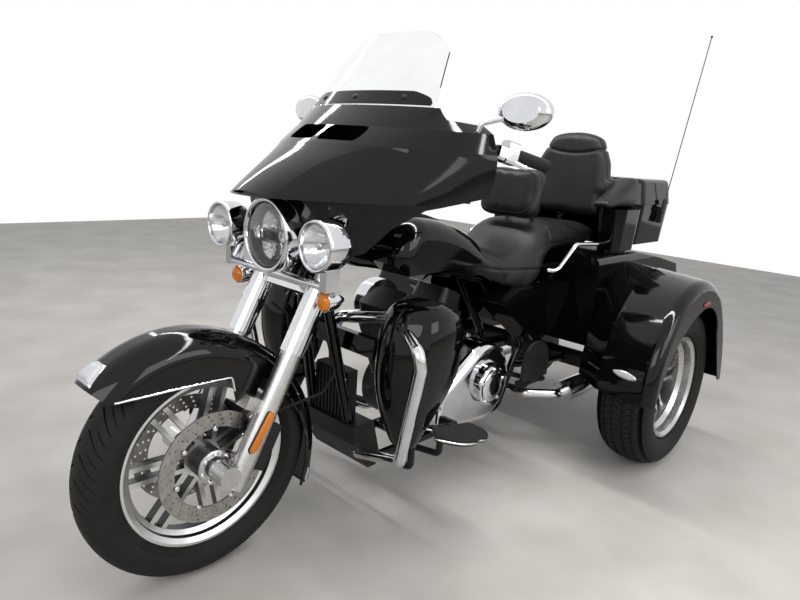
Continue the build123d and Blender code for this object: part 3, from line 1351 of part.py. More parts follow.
ARM_MIDDLE_X = 256
ARM_WIDTH = 84
ARM_FLOOR = 976
ARM_REAR = 1868
with BuildPart() as passenger_backrest:
    pad_lean = radians(8)
    back_plane = Plane(origin=spot(0, 1812, 1100), x_dir=(1, 0, 0), z_dir=(0, -cos(pad_lean), sin(pad_lean)))
    with BuildSketch(back_plane.offset(-30)):
        with BuildLine():
            side = Polyline((118, 168), (172, 62), (188, -40), (176, -186), (-176, -186), (-188, -40), (-172, 62), (-118, 168))
            ThreePointArc(side @ 1, (0, 188), side @ 0)
        make_face()
        fillet(vertices(), 22)
    extrude(amount=78)
    fillet(passenger_backrest.faces().sort_by(Axis.Y)[0].edges(), 20)
    for hand in (1, -1):
        with BuildSketch(side_plane(hand * ARM_MIDDLE_X)):
            with BuildLine():
                Polyline(
                    (aft(1596), ARM_FLOOR),
                    (aft(1590), 1004),
                    (aft(1712), 1054),
                    (aft(1815), 1106),
                    (aft(ARM_REAR), 1102),
                    (aft(ARM_REAR), ARM_FLOOR),
                    close=True,
                )
            make_face()
            fillet(vertices(), 16)
        extrude(amount=ARM_WIDTH / 2, both=True)
        with Locations(spot(hand * 190, (1780 + ARM_REAR) / 2, 1040)):
            Box(60, ARM_REAR - 1780, 100)
    add(speaker_pods.part, mode=Mode.SUBTRACT)
save(passenger_backrest.part, "passenger_backrest")

ANTENNA_RADIUS = 2
with BuildPart() as antenna:
    foot = Vector(*spot(305, 2112, 985))
    tip = Vector(*spot(312, 2328, 1736))
    rod_plane = Plane(origin=foot, z_dir=(tip - foot).normalized())
    with BuildSketch(rod_plane):
        Circle(ANTENNA_RADIUS)
    extrude(amount=(tip - foot).length)
    with Locations(rod_plane):
        Cylinder(9, 60)
    with Locations(tuple(tip)):
        Sphere(5)
    with Locations(spot(295, 2112, 945)):
        Box(22, 26, 70)
    add(luggage_box.part, mode=Mode.SUBTRACT)
save(antenna.part, "antenna")

# Bright rails beside the passenger, and the panels under the seat
with BuildPart() as grab_rails:
    add(make_tube([spot(205, 1330, 742), spot(232, 1356, 742), spot(250, 1450, 842), spot(258, 1600, 836), spot(258, 1672, 836)], 8, 30))
    mirror(about=Plane.YZ)
    add(speaker_pods.part, mode=Mode.SUBTRACT)
    add(seat.part, mode=Mode.SUBTRACT)
save(grab_rails.part, "grab_rails")

with BuildPart() as side_covers:
    with BuildSketch(side_plane(118)):
        with BuildLine():
            Polyline(
                (aft(1010), 650),
                (aft(1120), 694),
                (aft(1470), 690),
                (aft(1470), 640),
                (aft(1385), 500),
                (aft(1260), 478),
                close=True,
            )
        make_face()
        fillet(vertices(), 16)
    extrude(amount=112)
    mirror(about=Plane.YZ)
    add(exhaust.part, mode=Mode.SUBTRACT)
    add(seat.part, mode=Mode.SUBTRACT)
save(side_covers.part, "side_covers")

# Rider's footboards: each hinged along its inner edge on a pin between two frame lugs
BOARD_SLOPE = 10.8
BOARD_MIDDLE = 650
BOARD_HEIGHT = 326
BOARD_INNER_X = 300
BOARD_WIDTH = 122
BOARD_THICKNESS = 14
BOARD_PIN_RADIUS = 5
BOARD_PIN_INSET = 14
BOARD_LUG_RADIUS = 10
BOARD_LUG_SPACING = 140
board_lean = radians(BOARD_SLOPE)
BOARD_PLANE = Plane(
    origin=spot(BOARD_INNER_X, BOARD_MIDDLE, BOARD_HEIGHT),
    x_dir=(1, 0, 0),
    z_dir=(0, sin(board_lean), cos(board_lean)),
)
board_along = Plane(
    origin=BOARD_PLANE.from_local_coords((-BOARD_PIN_INSET, 0, 0)),
    x_dir=(1, 0, 0),
    z_dir=(0, cos(board_lean), -sin(board_lean)),
)

with BuildPart() as footboard:
    with BuildSketch(BOARD_PLANE.offset(-BOARD_THICKNESS / 2)):
        with BuildLine():
            inner = Polyline((BOARD_WIDTH * 0.55, -118), (3, -56), (3, 128))
            ThreePointArc((3, 128), (BOARD_WIDTH * 0.72, 112), (BOARD_WIDTH, 20))
            ThreePointArc((BOARD_WIDTH, 20), (BOARD_WIDTH * 0.96, -80), (BOARD_WIDTH * 0.55, -118))
        make_face()
    extrude(amount=BOARD_THICKNESS)
    for ear in (-45, 45):
        with Locations(BOARD_PLANE):
            with Locations((-BOARD_PIN_INSET / 2 + 1.5, ear, 0)):
                Box(BOARD_PIN_INSET + 3, 26, BOARD_THICKNESS)
    with Locations(board_along):
        Cylinder(BOARD_PIN_RADIUS, BOARD_LUG_SPACING + 30)
save(footboard.part, "footboard_left")
with BuildPart() as footboard_mirror:
    mirror(footboard.part, about=Plane.YZ)
save(footboard_mirror.part, "footboard_right")

# Passenger's footboards: folded up at rest, hinged along their lower edge
PEG_MIDDLE = 1166
PEG_X = 296
PEG_HEIGHT = 356
PEG_LENGTH = 166
PEG_WIDTH = 142
PEG_THICKNESS = 12
PEG_PIN_RADIUS = 4.5
PEG_LUG_RADIUS = 9
PEG_LUG_SPACING = 120
with BuildPart() as passenger_board:
    with BuildSketch(side_plane(PEG_X - PEG_THICKNESS / 2)):
        with BuildLine():
            low = PEG_HEIGHT + PEG_LUG_RADIUS + STEER_GAP
            high = PEG_HEIGHT + PEG_LUG_RADIUS + STEER_GAP + PEG_WIDTH
            front = aft(PEG_MIDDLE - PEG_LENGTH / 2)
            rear = aft(PEG_MIDDLE + PEG_LENGTH / 2)
            Polyline((front, low + 60), (front, low), (rear, low), (rear, low + 60))
            ThreePointArc((front, low + 60), (aft(PEG_MIDDLE), high), (rear, low + 60))
        make_face()
    extrude(amount=PEG_THICKNESS)
    with Locations(spot(PEG_X, PEG_MIDDLE, (PEG_HEIGHT + low) / 2)):
        Box(PEG_THICKNESS, 60, low - PEG_HEIGHT + 2)
    with Locations(Plane(origin=spot(PEG_X, PEG_MIDDLE, PEG_HEIGHT), x_dir=(1, 0, 0), z_dir=(0, 1, 0))):
        Cylinder(PEG_PIN_RADIUS, PEG_LUG_SPACING + 26)
save(passenger_board.part, "passenger_board_left")
with BuildPart() as passenger_board_mirror:
    mirror(passenger_board.part, about=Plane.YZ)
save(passenger_board_mirror.part, "passenger_board_right")

# Board brackets: arms from the cradle out to the lugs that both pairs of boards turn on
with BuildPart() as board_brackets:
    for end in (-1, 1):
        lug = Plane(
            origin=board_along.from_local_coords((0, 0, end * BOARD_LUG_SPACING / 2)),
            x_dir=(1, 0, 0),
            z_dir=board_along.z_dir,
        )
        with Locations(lug):
            Cylinder(BOARD_LUG_RADIUS, 22)
            with Locations((-26, 0, 0)):
                Box(48, 2 * BOARD_LUG_RADIUS, 22)
        knee = lug.from_local_coords((-46, 0, 0))
        arm = [
            (knee.X, knee.Y, knee.Z),
            (knee.X, knee.Y, CRADLE_HEIGHT + 22),
            (CRADLE_HALF_WIDTH, knee.Y, CRADLE_HEIGHT),
        ]
        add(make_tube(arm, 11, 18))
    for end in (-1, 1):
        with Locations(Plane(origin=spot(PEG_X, PEG_MIDDLE + end * PEG_LUG_SPACING / 2, PEG_HEIGHT), x_dir=(1, 0, 0), z_dir=(0, 1, 0))):
            Cylinder(PEG_LUG_RADIUS, 20)
    with Locations(spot(PEG_X - 26, PEG_MIDDLE, PEG_HEIGHT)):
        Box(14, PEG_LUG_SPACING + 20, 16)
    for end in (-1, 1):
        with Locations(spot(PEG_X - 14, PEG_MIDDLE + end * PEG_LUG_SPACING / 2, PEG_HEIGHT)):
            Box(26, 20, 16)
    add(make_tube([spot(PEG_X - 26, PEG_MIDDLE + 20, PEG_HEIGHT), spot(180, 1240, 330), spot(97, 1308, 300)], 10, 40))
    with Locations(board_along):
        Cylinder(BOARD_PIN_RADIUS + RUNNING_CLEARANCE, BOARD_LUG_SPACING + 60, mode=Mode.SUBTRACT)
    with Locations(Plane(origin=spot(PEG_X, PEG_MIDDLE, PEG_HEIGHT), x_dir=(1, 0, 0), z_dir=(0, 1, 0))):
        Cylinder(PEG_PIN_RADIUS + RUNNING_CLEARANCE, PEG_LUG_SPACING + 60, mode=Mode.SUBTRACT)
    mirror(about=Plane.YZ)
    add(frame.part, mode=Mode.SUBTRACT)
save(board_brackets.part, "board_brackets")
print("brackets", len(board_brackets.part.solids()))
print(len(written), "pieces")
for label, point in (("neck", fork_plane(0).from_local_coords((0, STEM_OFFSET, 0))), ("board", board_along.origin)):
    print(label, point)
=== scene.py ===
import bmesh
import bpy
import math
import numpy as np
from mathutils import Matrix, Vector
from mathutils.bvhtree import BVHTree
from mathutils.geometry import delaunay_2d_cdt


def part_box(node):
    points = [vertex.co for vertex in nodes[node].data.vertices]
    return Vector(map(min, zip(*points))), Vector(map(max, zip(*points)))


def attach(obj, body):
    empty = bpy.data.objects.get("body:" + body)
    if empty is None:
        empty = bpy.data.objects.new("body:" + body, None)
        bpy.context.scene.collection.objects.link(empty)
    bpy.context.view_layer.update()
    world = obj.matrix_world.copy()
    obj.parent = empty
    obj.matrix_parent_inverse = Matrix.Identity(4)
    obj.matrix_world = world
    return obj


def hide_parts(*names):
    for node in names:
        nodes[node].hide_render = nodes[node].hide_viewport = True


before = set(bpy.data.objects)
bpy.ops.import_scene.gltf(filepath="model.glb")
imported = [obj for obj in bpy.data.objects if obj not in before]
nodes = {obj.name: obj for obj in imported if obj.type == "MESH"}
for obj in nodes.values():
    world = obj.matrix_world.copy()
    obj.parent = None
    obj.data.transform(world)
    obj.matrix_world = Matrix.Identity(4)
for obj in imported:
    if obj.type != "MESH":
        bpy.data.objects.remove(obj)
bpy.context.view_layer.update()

# The viewpoint: someone standing ahead of the trike and to its left, looking slightly down at it.
# The camera is given by its place over the floor, its heading, its tilt and its roll.
FRONT_TYRE_RADIUS = 0.320
REAR_TYRE_RADIUS = 0.323


def box_centre(node_name):
    low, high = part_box(node_name)
    return (Vector(low) + Vector(high)) / 2


FRONT_AXLE = Vector((0, box_centre("front_tyre").y, FRONT_TYRE_RADIUS))
REAR_AXLE = Vector((0, box_centre("rear_tyre_left").y, REAR_TYRE_RADIUS))
CAMERA_PLACE = Vector((1.3947, FRONT_AXLE.y - 0.7697, 1.1429))
CAMERA_YAW = 0.746
CAMERA_PITCH = -0.233
CAMERA_ROLL = 0.071
CAMERA_LENS = 28.1

ahead = Vector((
    -math.sin(CAMERA_YAW) * math.cos(CAMERA_PITCH),
    math.cos(CAMERA_YAW) * math.cos(CAMERA_PITCH),
    math.sin(CAMERA_PITCH),
))
level_right = ahead.cross(Vector((0, 0, 1))).normalized()
level_up = level_right.cross(ahead)
camera_right = level_right * math.cos(CAMERA_ROLL) + level_up * math.sin(CAMERA_ROLL)
camera_up = level_up * math.cos(CAMERA_ROLL) - level_right * math.sin(CAMERA_ROLL)
camera_data = bpy.data.cameras.new("viewpoint")
camera_data.sensor_width = 36
camera_data.lens = CAMERA_LENS
camera = bpy.data.objects.new("viewpoint", camera_data)
camera_turn = Matrix((camera_right, camera_up, -ahead)).transposed()
camera.matrix_world = Matrix.Translation(CAMERA_PLACE) @ camera_turn.to_4x4()
bpy.context.scene.collection.objects.link(camera)
bpy.context.scene.camera = camera
bpy.context.scene.view_settings.view_transform = "Standard"

# The studio: a pale floor, a white surround, and soft lamps overhead like rows of ceiling tubes.
# The surround shows white in polished parts too, but lights the object only gently.
FLOOR_SIZE = 14
FLOOR_DARK, FLOOR_LIGHT = (0.44, 0.415, 0.38), (0.56, 0.535, 0.50)
SURROUND_COLOUR = (0.95, 0.97, 1.0, 1)
SURROUND_FILL = 0.42
ROOF_HEIGHT = 2.9
TUBE_ROWS = (-1.9, -0.55, 0.8, 2.15)
TUBE_SIZE = (0.16, 4.6)
BOX_SIZE = (2.6, 1.4)
NOISE = "ShaderNodeTexNoise"
VORONOI = "ShaderNodeTexVoronoi"


def add_node(tree, kind, **settings):
    """A node of one kind, with its inputs set by name and its own properties by attribute."""
    node = tree.nodes.new(kind)
    for key, value in settings.items():
        if hasattr(node, key):
            setattr(node, key, value)
        else:
            node.inputs[key.replace("_", " ")].default_value = value
    return node


def shader_base(name, **settings):
    """A material with one Principled shader, whose constant sockets are given by name."""
    material = bpy.data.materials.new(name)
    material.use_nodes = True
    tree = material.node_tree
    tree.nodes.clear()
    output = add_node(tree, "ShaderNodeOutputMaterial")
    shader = add_node(tree, "ShaderNodeBsdfPrincipled")
    for key, value in settings.items():
        shader.inputs[key.replace("_", " ")].default_value = value
    tree.links.new(shader.outputs[0], output.inputs[0])
    return material, tree, shader


def object_pattern(tree, kind, scale, stretch=(1, 1, 1), **settings):
    """A procedural texture laid in the object's own space, in cycles a metre."""
    place = add_node(tree, "ShaderNodeTexCoord")
    mapping = add_node(tree, "ShaderNodeMapping")
    mapping.inputs["Scale"].default_value = stretch
    tree.links.new(place.outputs["Object"], mapping.inputs["Vector"])
    pattern = add_node(tree, kind, **settings)
    pattern.inputs["Scale"].default_value = scale
    tree.links.new(mapping.outputs[0], pattern.inputs["Vector"])
    return pattern


def tint(tree, shader, source, dark, light):
    """The shader's colour, ranging between two colours with a texture's value."""
    ramp = add_node(tree, "ShaderNodeValToRGB")
    ramp.color_ramp.elements[0].position = 0.3
    ramp.color_ramp.elements[0].color = (*dark, 1)
    ramp.color_ramp.elements[1].position = 0.7
    ramp.color_ramp.elements[1].color = (*light, 1)
    tree.links.new(source, ramp.inputs[0])
    tree.links.new(ramp.outputs[0], shader.inputs["Base Color"])


def link_mesh(name, mesh, *materials):
    """An object at the origin that holds a mesh and its finishes."""
    piece = bpy.data.objects.new(name, mesh)
    bpy.context.scene.collection.objects.link(piece)
    for material in materials:
        mesh.materials.append(material)
    return piece


world = bpy.data.worlds.new("surround")
bpy.context.scene.world = world
world.use_nodes = True
surround = world.node_tree
surround.nodes.clear()
surround_out = add_node(surround, "ShaderNodeOutputWorld")
surround_light = add_node(surround, "ShaderNodeBackground", Color=SURROUND_COLOUR, Strength=SURROUND_FILL)
surround_seen = add_node(surround, "ShaderNodeBackground", Color=(1, 1, 1, 1))
surround_mix = add_node(surround, "ShaderNodeMixShader")
ray = add_node(surround, "ShaderNodeLightPath")
seen = add_node(surround, "ShaderNodeMath", operation="MAXIMUM")
seen_through = add_node(surround, "ShaderNodeMath", operation="MAXIMUM")
for source, target in (
    (ray.outputs["Is Camera Ray"], seen.inputs[0]),
    (ray.outputs["Is Glossy Ray"], seen.inputs[1]),
    (seen.outputs[0], seen_through.inputs[0]),
    (ray.outputs["Is Transmission Ray"], seen_through.inputs[1]),
    (seen_through.outputs[0], surround_mix.inputs[0]),
    (surround_light.outputs[0], surround_mix.inputs[1]),
    (surround_seen.outputs[0], surround_mix.inputs[2]),
    (surround_mix.outputs[0], surround_out.inputs[0]),
):
    surround.links.new(source, target)

floor_mesh = bpy.data.meshes.new("studio_floor")
half = FLOOR_SIZE / 2
floor_corners = [(-half, -half, 0), (half, -half, 0), (half, half, 0), (-half, half, 0)]
floor_mesh.from_pydata(floor_corners, [], [(0, 1, 2, 3)])
floor_paint, floor_tree, floor_shader = shader_base("studio_floor", Roughness=0.55)
floor_cloud = object_pattern(floor_tree, NOISE, 3, Detail=6.0)
tint(floor_tree, floor_shader, floor_cloud.outputs["Fac"], FLOOR_DARK, FLOOR_LIGHT)
link_mesh("studio_floor", floor_mesh, floor_paint)


def add_lamp(name, place, aim, size, power):
    """A soft rectangular lamp that points at a place."""
    data = bpy.data.lights.new(name, "AREA")
    data.shape = "RECTANGLE"
    data.size, data.size_y = size
    data.energy = power
    lamp = bpy.data.objects.new(name, data)
    lamp.location = place
    lamp.rotation_euler = (Vector(aim) - Vector(place)).to_track_quat("-Z", "Y").to_euler()
    bpy.context.scene.collection.objects.link(lamp)


for row, across in enumerate(TUBE_ROWS):
    add_lamp(f"tube_row_{row}", (across, 0.1, ROOF_HEIGHT), (across * 0.8, 0.1, 0), TUBE_SIZE, 26)
add_lamp("front_box", (1.5, -3.4, 2.3), (0, -0.6, 0.6), BOX_SIZE, 40)
add_lamp("side_box", (3.7, 0.2, 1.9), (0, 0.2, 0.6), BOX_SIZE, 36)

# Gloss black paint: the fenders, fairing, tank, trunk and luggage box.
# It is a deep black under clear lacquer, with a faint ripple in the lacquer.


def spread(tree, source, low, high, start=0.3, end=0.7):
    """A texture's value turned into a range of another value."""
    node = add_node(tree, "ShaderNodeMapRange")
    node.inputs["From Min"].default_value = start
    node.inputs["From Max"].default_value = end
    node.inputs["To Min"].default_value = low
    node.inputs["To Max"].default_value = high
    tree.links.new(source, node.inputs["Value"])
    return node.outputs[0]


def add_bump(tree, target, height, strength, distance):
    """A relief from a height, with its depth in metres, on a shader or under another relief."""
    bump = add_node(tree, "ShaderNodeBump", Strength=strength, Distance=distance)
    tree.links.new(height, bump.inputs["Height"])
    tree.links.new(bump.outputs[0], target.inputs["Normal"])
    return bump


def relief_pattern(tree, kind, scale, stretch=(1, 1, 1), **settings):
    """The height that a texture gives: its distance for cells, and its factor for the rest."""
    pattern = object_pattern(tree, kind, scale, stretch, **settings)
    return pattern.outputs["Distance" if kind == VORONOI else "Fac"]


def make_finish(name, cloud, dark, light, rough, relief=None, bump=None, relief_roughens=False, **settings):
    """A finish whose colour clouds from dark to light, with a fine relief over it.

    The cloud is given as its scale and detail, and the bump as its strength and depth.
    The roughness follows the cloud, or the relief where that roughens the surface.
    """
    material, tree, shader = shader_base(name, **settings)
    scale, detail = cloud
    tone = object_pattern(tree, NOISE, scale, Detail=detail).outputs["Fac"]
    height = relief_pattern(tree, **relief) if relief else None
    tint(tree, shader, tone, dark, light)
    tree.links.new(spread(tree, height if relief_roughens else tone, *rough), shader.inputs["Roughness"])
    if bump:
        add_bump(tree, shader, height, *bump)
    return material


gloss_black = make_finish(
    "gloss_black_paint", (6, 4.0), (0.0018, 0.0018, 0.002), (0.003, 0.003, 0.0034), (0.045, 0.085),
    dict(kind=NOISE, scale=260, Detail=1.0), (0.25, 0.00003), Specular_IOR_Level=0.3,
)

# Bright metals: polished chrome on the bars, guards, covers and lamp shells, and a satin cast alloy.
# Chrome has a fine polishing haze, and the alloy has a faint grain from brushing.
chrome = make_finish(
    "polished_chrome", (14, 5.0), (0.62, 0.63, 0.65), (0.74, 0.75, 0.77), (0.04, 0.12),
    dict(kind=NOISE, scale=900, Detail=1.0), (0.1, 0.00001), Metallic=1.0,
)
satin_alloy = make_finish(
    "satin_alloy", (30, 5.0), (0.50, 0.50, 0.495), (0.57, 0.565, 0.555), (0.24, 0.31),
    dict(kind=NOISE, scale=300, stretch=(1, 1, 0.05), Detail=2.0), (0.06, 0.00003),
    relief_roughens=True, Metallic=1.0,
)

# Satin blacks: the engine's wrinkle paint, moulded plastic trim, and the rubber of tyres, grips and boards.
# Each one's grain differs: a wrinkle, small cells, and a fine noise.
engine_black = make_finish(
    "engine_black", (18, 4.0), (0.006, 0.006, 0.0065), (0.011, 0.011, 0.0115), (0.3, 0.5),
    dict(kind=NOISE, scale=700, Detail=3.0), (0.5, 0.0002), relief_roughens=True, Specular_IOR_Level=0.3,
)
black_plastic = make_finish(
    "black_plastic", (12, 4.0), (0.008, 0.008, 0.0085), (0.014, 0.014, 0.0145), (0.42, 0.58),
    dict(kind=VORONOI, scale=1100), (0.3, 0.00012), Specular_IOR_Level=0.25,
)
rubber = make_finish(
    "black_rubber", (25, 5.0), (0.009, 0.009, 0.009), (0.017, 0.0165, 0.016), (0.6, 0.8),
    dict(kind=NOISE, scale=800, Detail=2.0), (0.3, 0.0001), Specular_IOR_Level=0.2,
)

# Tinted and clear plastics: the lamps' lenses, the reflectors and the windshield.
# A lens that light passes through only in part is coloured by its own body.


def make_lens(name, colour, rough, through):
    dark = tuple(0.94 * c for c in colour)
    return make_finish(
        name, (20, 3.0), dark, colour, (rough, rough + 0.04), IOR=1.49, Transmission_Weight=through
    )


amber_lens = make_lens("amber_lens", (0.95, 0.27, 0.01), 0.08, 0.35)
red_lens = make_lens("red_lens", (0.55, 0.012, 0.01), 0.08, 0.3)
clear_screen = make_lens("clear_screen", (0.96, 0.975, 0.98), 0.0, 1.0)
lamp_glass = make_lens("lamp_glass", (0.97, 0.98, 0.99), 0.01, 1.0)
pale_lens = make_lens("pale_lens", (0.80, 0.82, 0.84), 0.12, 0.25)

# Tyres: black rubber, each remade as one closed ring with its tread cut into it.
# The front has curved cross grooves. The rear has ribs, cut across by slanted sipes.
TREAD_DEPTH = 0.006
SIDE_RIDGE = 0.0012
BEAD_FLANGE = 0.006
TREAD_SHARP_ANGLE = 32


def tyre_profile(radius, width, bead_radius, rim_width, squareness, steps=24):
    """The tyre's section from one bead to the crown, as X, radius and how far up the tread it is."""
    half = width / 2
    bead = rim_width / 2 - 0.0003
    rim_edge = bead_radius + 0.0123
    middle = (rim_edge + radius) / 2 - 0.012
    points = [(bead, bead_radius + 0.0003, 0), (bead, rim_edge, 0), (bead + BEAD_FLANGE, rim_edge, 0)]
    for share in (0.12, 0.14, 0.16, 0.5, 0.53, 0.56, 0.8):
        swell = bead + BEAD_FLANGE + (half - bead - BEAD_FLANGE) * math.sin(share * math.pi / 2)
        ridge = SIDE_RIDGE if share in (0.14, 0.53) else 0
        points.append((swell + ridge, rim_edge + (middle - rim_edge) * share, 0))
    for step in range(steps):
        turn = math.pi / 2 * step / steps
        out = half * math.cos(turn) ** (2 / squareness)
        rise = (radius - middle) * math.sin(turn) ** (2 / squareness)
        points.append((out, middle + rise, min(1, max(0, (turn - 0.35) / 0.2))))
    return points


def add_stations(points, stations, reach):
    """The same section with extra points on the tread, so that grooves get straight walls."""
    outer = [p for p in points if p[0] > reach]
    crown = [p for p in points if p[0] <= reach]
    xs = np.array([p[0] for p in reversed(crown)] + [reach + 0.01])
    rs = np.array([p[1] for p in reversed(crown)] + [outer[-1][1]])
    inner = [(x, float(np.interp(x, xs, rs)), 1) for x in sorted(stations, reverse=True)]
    return outer + inner


def make_tyre(name, hub, half_section, columns, turns, warp, depth):
    """A closed ring: the mirrored half section swept round the hub, with its tread pushed in."""
    other = [(-x, r, up) for x, r, up in reversed(half_section) if x > 1e-6]
    x, r, up = (np.array(column) for column in zip(*(half_section + other)))
    pitch = 2 * math.pi / turns
    angle = np.array([(k + c) * pitch for k in range(turns) for c in columns])
    theta = angle[None, :] + (warp(x)[:, None] * pitch)
    drop = np.array([[depth(a, c) for c in columns] * turns for a in x])
    radius = r[:, None] - drop * up[:, None] * TREAD_DEPTH
    across = np.broadcast_to(x[:, None], theta.shape)
    along, height = radius * np.cos(theta), radius * np.sin(theta)
    verts = np.stack([hub.x + across, hub.y + along, hub.z + height], axis=-1)
    rows, count = theta.shape
    i, j = np.meshgrid(np.arange(rows), np.arange(count), indexing="ij")
    ni, nj = (i + 1) % rows, (j + 1) % count
    corners = [i * count + j, i * count + nj, ni * count + nj, ni * count + j]
    quads = np.stack(corners, axis=-1).reshape(-1, 4)
    mesh = bpy.data.meshes.new(name)
    mesh.from_pydata(verts.reshape(-1, 3).tolist(), [], quads.tolist())
    mesh.shade_smooth()
    mesh.set_sharp_from_angle(angle=math.radians(TREAD_SHARP_ANGLE))
    return link_mesh(name, mesh, rubber)


FRONT_HALF_WIDTH = 0.065
FRONT_BEAD_RADIUS, FRONT_RIM_WIDTH = 0.217, 0.076
FRONT_TREAD_TURNS = 34
FRONT_TREAD_COLUMNS = (0, 0.10, 0.12, 0.20, 0.22, 0.4, 0.60, 0.62, 0.70, 0.72, 0.86)
front_stations = [0, 0.006, 0.0075, 0.013, 0.020, 0.028, 0.036]
front_section = add_stations(
    tyre_profile(FRONT_TYRE_RADIUS, 2 * FRONT_HALF_WIDTH, FRONT_BEAD_RADIUS, FRONT_RIM_WIDTH, squareness=2.2),
    front_stations,
    reach=0.040,
)


def front_groove(x, column):
    """Long cross grooves that start beside the crown rib, and short ones out at the shoulder."""
    wide = abs(x)
    early, late = 0.12 <= column <= 0.20, 0.62 <= column <= 0.70
    in_long, in_short = (early, late) if x >= 0 else (late, early)
    if in_long and 0.0075 <= wide <= 0.060:
        return 1.0
    if in_short and 0.030 <= wide <= 0.062:
        return 0.9
    return 0.0


front_tread = make_tyre(
    "front_tread",
    FRONT_AXLE,
    front_section,
    FRONT_TREAD_COLUMNS,
    FRONT_TREAD_TURNS,
    lambda x: 1.1 * (np.abs(x) / FRONT_HALF_WIDTH) ** 1.6,
    front_groove,
)
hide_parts("front_tyre")
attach(front_tread, "front_wheel")

REAR_TYRE_WIDTH = 0.205
REAR_BEAD_RADIUS, REAR_RIM_WIDTH = 0.191, 0.152
REAR_TREAD_TURNS = 78
REAR_TREAD_COLUMNS = (0, 0.10, 0.12, 0.24, 0.26, 0.60, 0.62, 0.74, 0.76)
RIB_GROOVES = ((0.016, 0.022), (0.049, 0.055))
GROOVE_MARGIN = 0.0001
SIPE_REACH = 0.096
rear_stations = [0, 0.008, 0.0145, 0.016, 0.022, 0.0235, 0.035, 0.0475, 0.049, 0.055, 0.0565, 0.068, 0.080]
rear_section = add_stations(
    tyre_profile(REAR_TYRE_RADIUS, REAR_TYRE_WIDTH, REAR_BEAD_RADIUS, REAR_RIM_WIDTH, squareness=2.6),
    rear_stations,
    reach=0.084,
)


def rear_groove(x, column):
    """Two straight grooves each side of the middle, and sipes across every rib, staggered by rows."""
    wide = abs(x)
    if any(low - GROOVE_MARGIN <= wide <= high + GROOVE_MARGIN for low, high in RIB_GROOVES):
        return 1.0
    row = sum(wide >= low for low, _ in RIB_GROOVES)
    at_sipe = 0.12 <= column <= 0.24 if row % 2 == 0 else 0.62 <= column <= 0.74
    if at_sipe and wide < SIPE_REACH:
        return 0.9 if row < 2 else 1.0
    return 0.0


def rear_warp(x):
    """The sipes slant across the inner ribs, and again over the shoulder."""
    slant = np.interp(np.abs(x), [0, 0.019, 0.052, 0.1025], [0, 0.55, 0.0, 0.9])
    return slant * np.where(x < 0, -1, 1)


for side in ("left", "right"):
    hub = Vector((box_centre(f"rear_tyre_{side}").x, REAR_AXLE.y, REAR_TYRE_RADIUS))
    tread = make_tyre(
        f"rear_tread_{side}", hub, rear_section, REAR_TREAD_COLUMNS, REAR_TREAD_TURNS, rear_warp, rear_groove
    )
    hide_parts(f"rear_tyre_{side}")
    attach(tread, f"rear_wheel_{side}")

# Front rim: cast alloy, with the faces of the spokes and lips machined bright and the pockets painted black.
# The paint follows the casting, so the finish goes on the CAD's own rim and reads which way its faces point.
MACHINED_LOW, MACHINED_HIGH = (0.62, 0.62, 0.61), (0.78, 0.78, 0.77)
POCKET_BLACK = (0.006, 0.006, 0.007)
MACHINED_FROM, MACHINED_FULL = 0.42, 0.62


def make_two_tone():
    material, tree, shader = shader_base("machined_and_black")
    haze = object_pattern(tree, NOISE, 35, Detail=4.0).outputs["Fac"]
    place = add_node(tree, "ShaderNodeTexCoord")
    parts = add_node(tree, "ShaderNodeSeparateXYZ")
    facing = add_node(tree, "ShaderNodeMath", operation="ABSOLUTE")
    tree.links.new(place.outputs["Normal"], parts.inputs[0])
    tree.links.new(parts.outputs["X"], facing.inputs[0])
    bright = spread(tree, facing.outputs[0], 0.0, 1.0, MACHINED_FROM, MACHINED_FULL)
    metal = add_node(tree, "ShaderNodeValToRGB")
    metal.color_ramp.elements[0].color = (*MACHINED_LOW, 1)
    metal.color_ramp.elements[1].color = (*MACHINED_HIGH, 1)
    tree.links.new(haze, metal.inputs[0])
    both = add_node(tree, "ShaderNodeMix", data_type="RGBA")
    both.inputs["A"].default_value = (*POCKET_BLACK, 1)
    tree.links.new(bright, both.inputs["Factor"])
    tree.links.new(metal.outputs[0], both.inputs["B"])
    tree.links.new(both.outputs["Result"], shader.inputs["Base Color"])
    tree.links.new(bright, shader.inputs["Metallic"])
    tree.links.new(spread(tree, haze, 0.28, 0.40), shader.inputs["Roughness"])
    return material


two_tone = make_two_tone()

# Front brake discs: stainless rings drilled in slanted rows, on windowed carriers held by seven bolts.
# Each side's ring, carrier and bolts turn with the front wheel.
DISC_RADIUS = 0.150
DISC_INNER = 0.106
DISC_OFFSET = 0.072
DISC_THICKNESS = 0.005
HOLE_RADIUS = 0.0034
HOLE_ROWS = 28
HOLE_FIRST, HOLE_PITCH, HOLE_SLANT = 0.117, 0.0125, 0.055
CARRIER_BORE = 0.018
CARRIER_THICKNESS = 0.003
CARRIER_OUT = 0.0035
WINDOW_INNER, WINDOW_OUTER = 0.056, 0.099
WINDOW_STEPS = 8
ARM_WIDTH = 0.020
ARMS = 7
RIM_BOLTS = (0.107, 0.005)
HUB_BOLTS = (0.039, 0.0104)
HUB_RING = [(0, 0.047), (0.004, 0.047), (0.006, 0.044), (0.006, 0.024), (0, 0.022)]
BOLT_HEAD = [
    (0, 0), (0, 0.0062), (0.003, 0.0062), (0.0042, 0.005), (0.0046, 0.0028), (0.0034, 0.0026), (0.0034, 0)
]
stainless = make_finish(
    "brake_stainless", (40, 4.0), (0.30, 0.285, 0.27), (0.42, 0.405, 0.385), (0.25, 0.4), Metallic=1.0
)


def polar(radius, turn):
    return (radius * math.cos(turn), radius * math.sin(turn))


def circle_loop(radius, count, centre=(0, 0)):
    spots = [polar(radius, 2 * math.pi * k / count) for k in range(count)]
    return [(centre[0] + x, centre[1] + y) for x, y in spots]


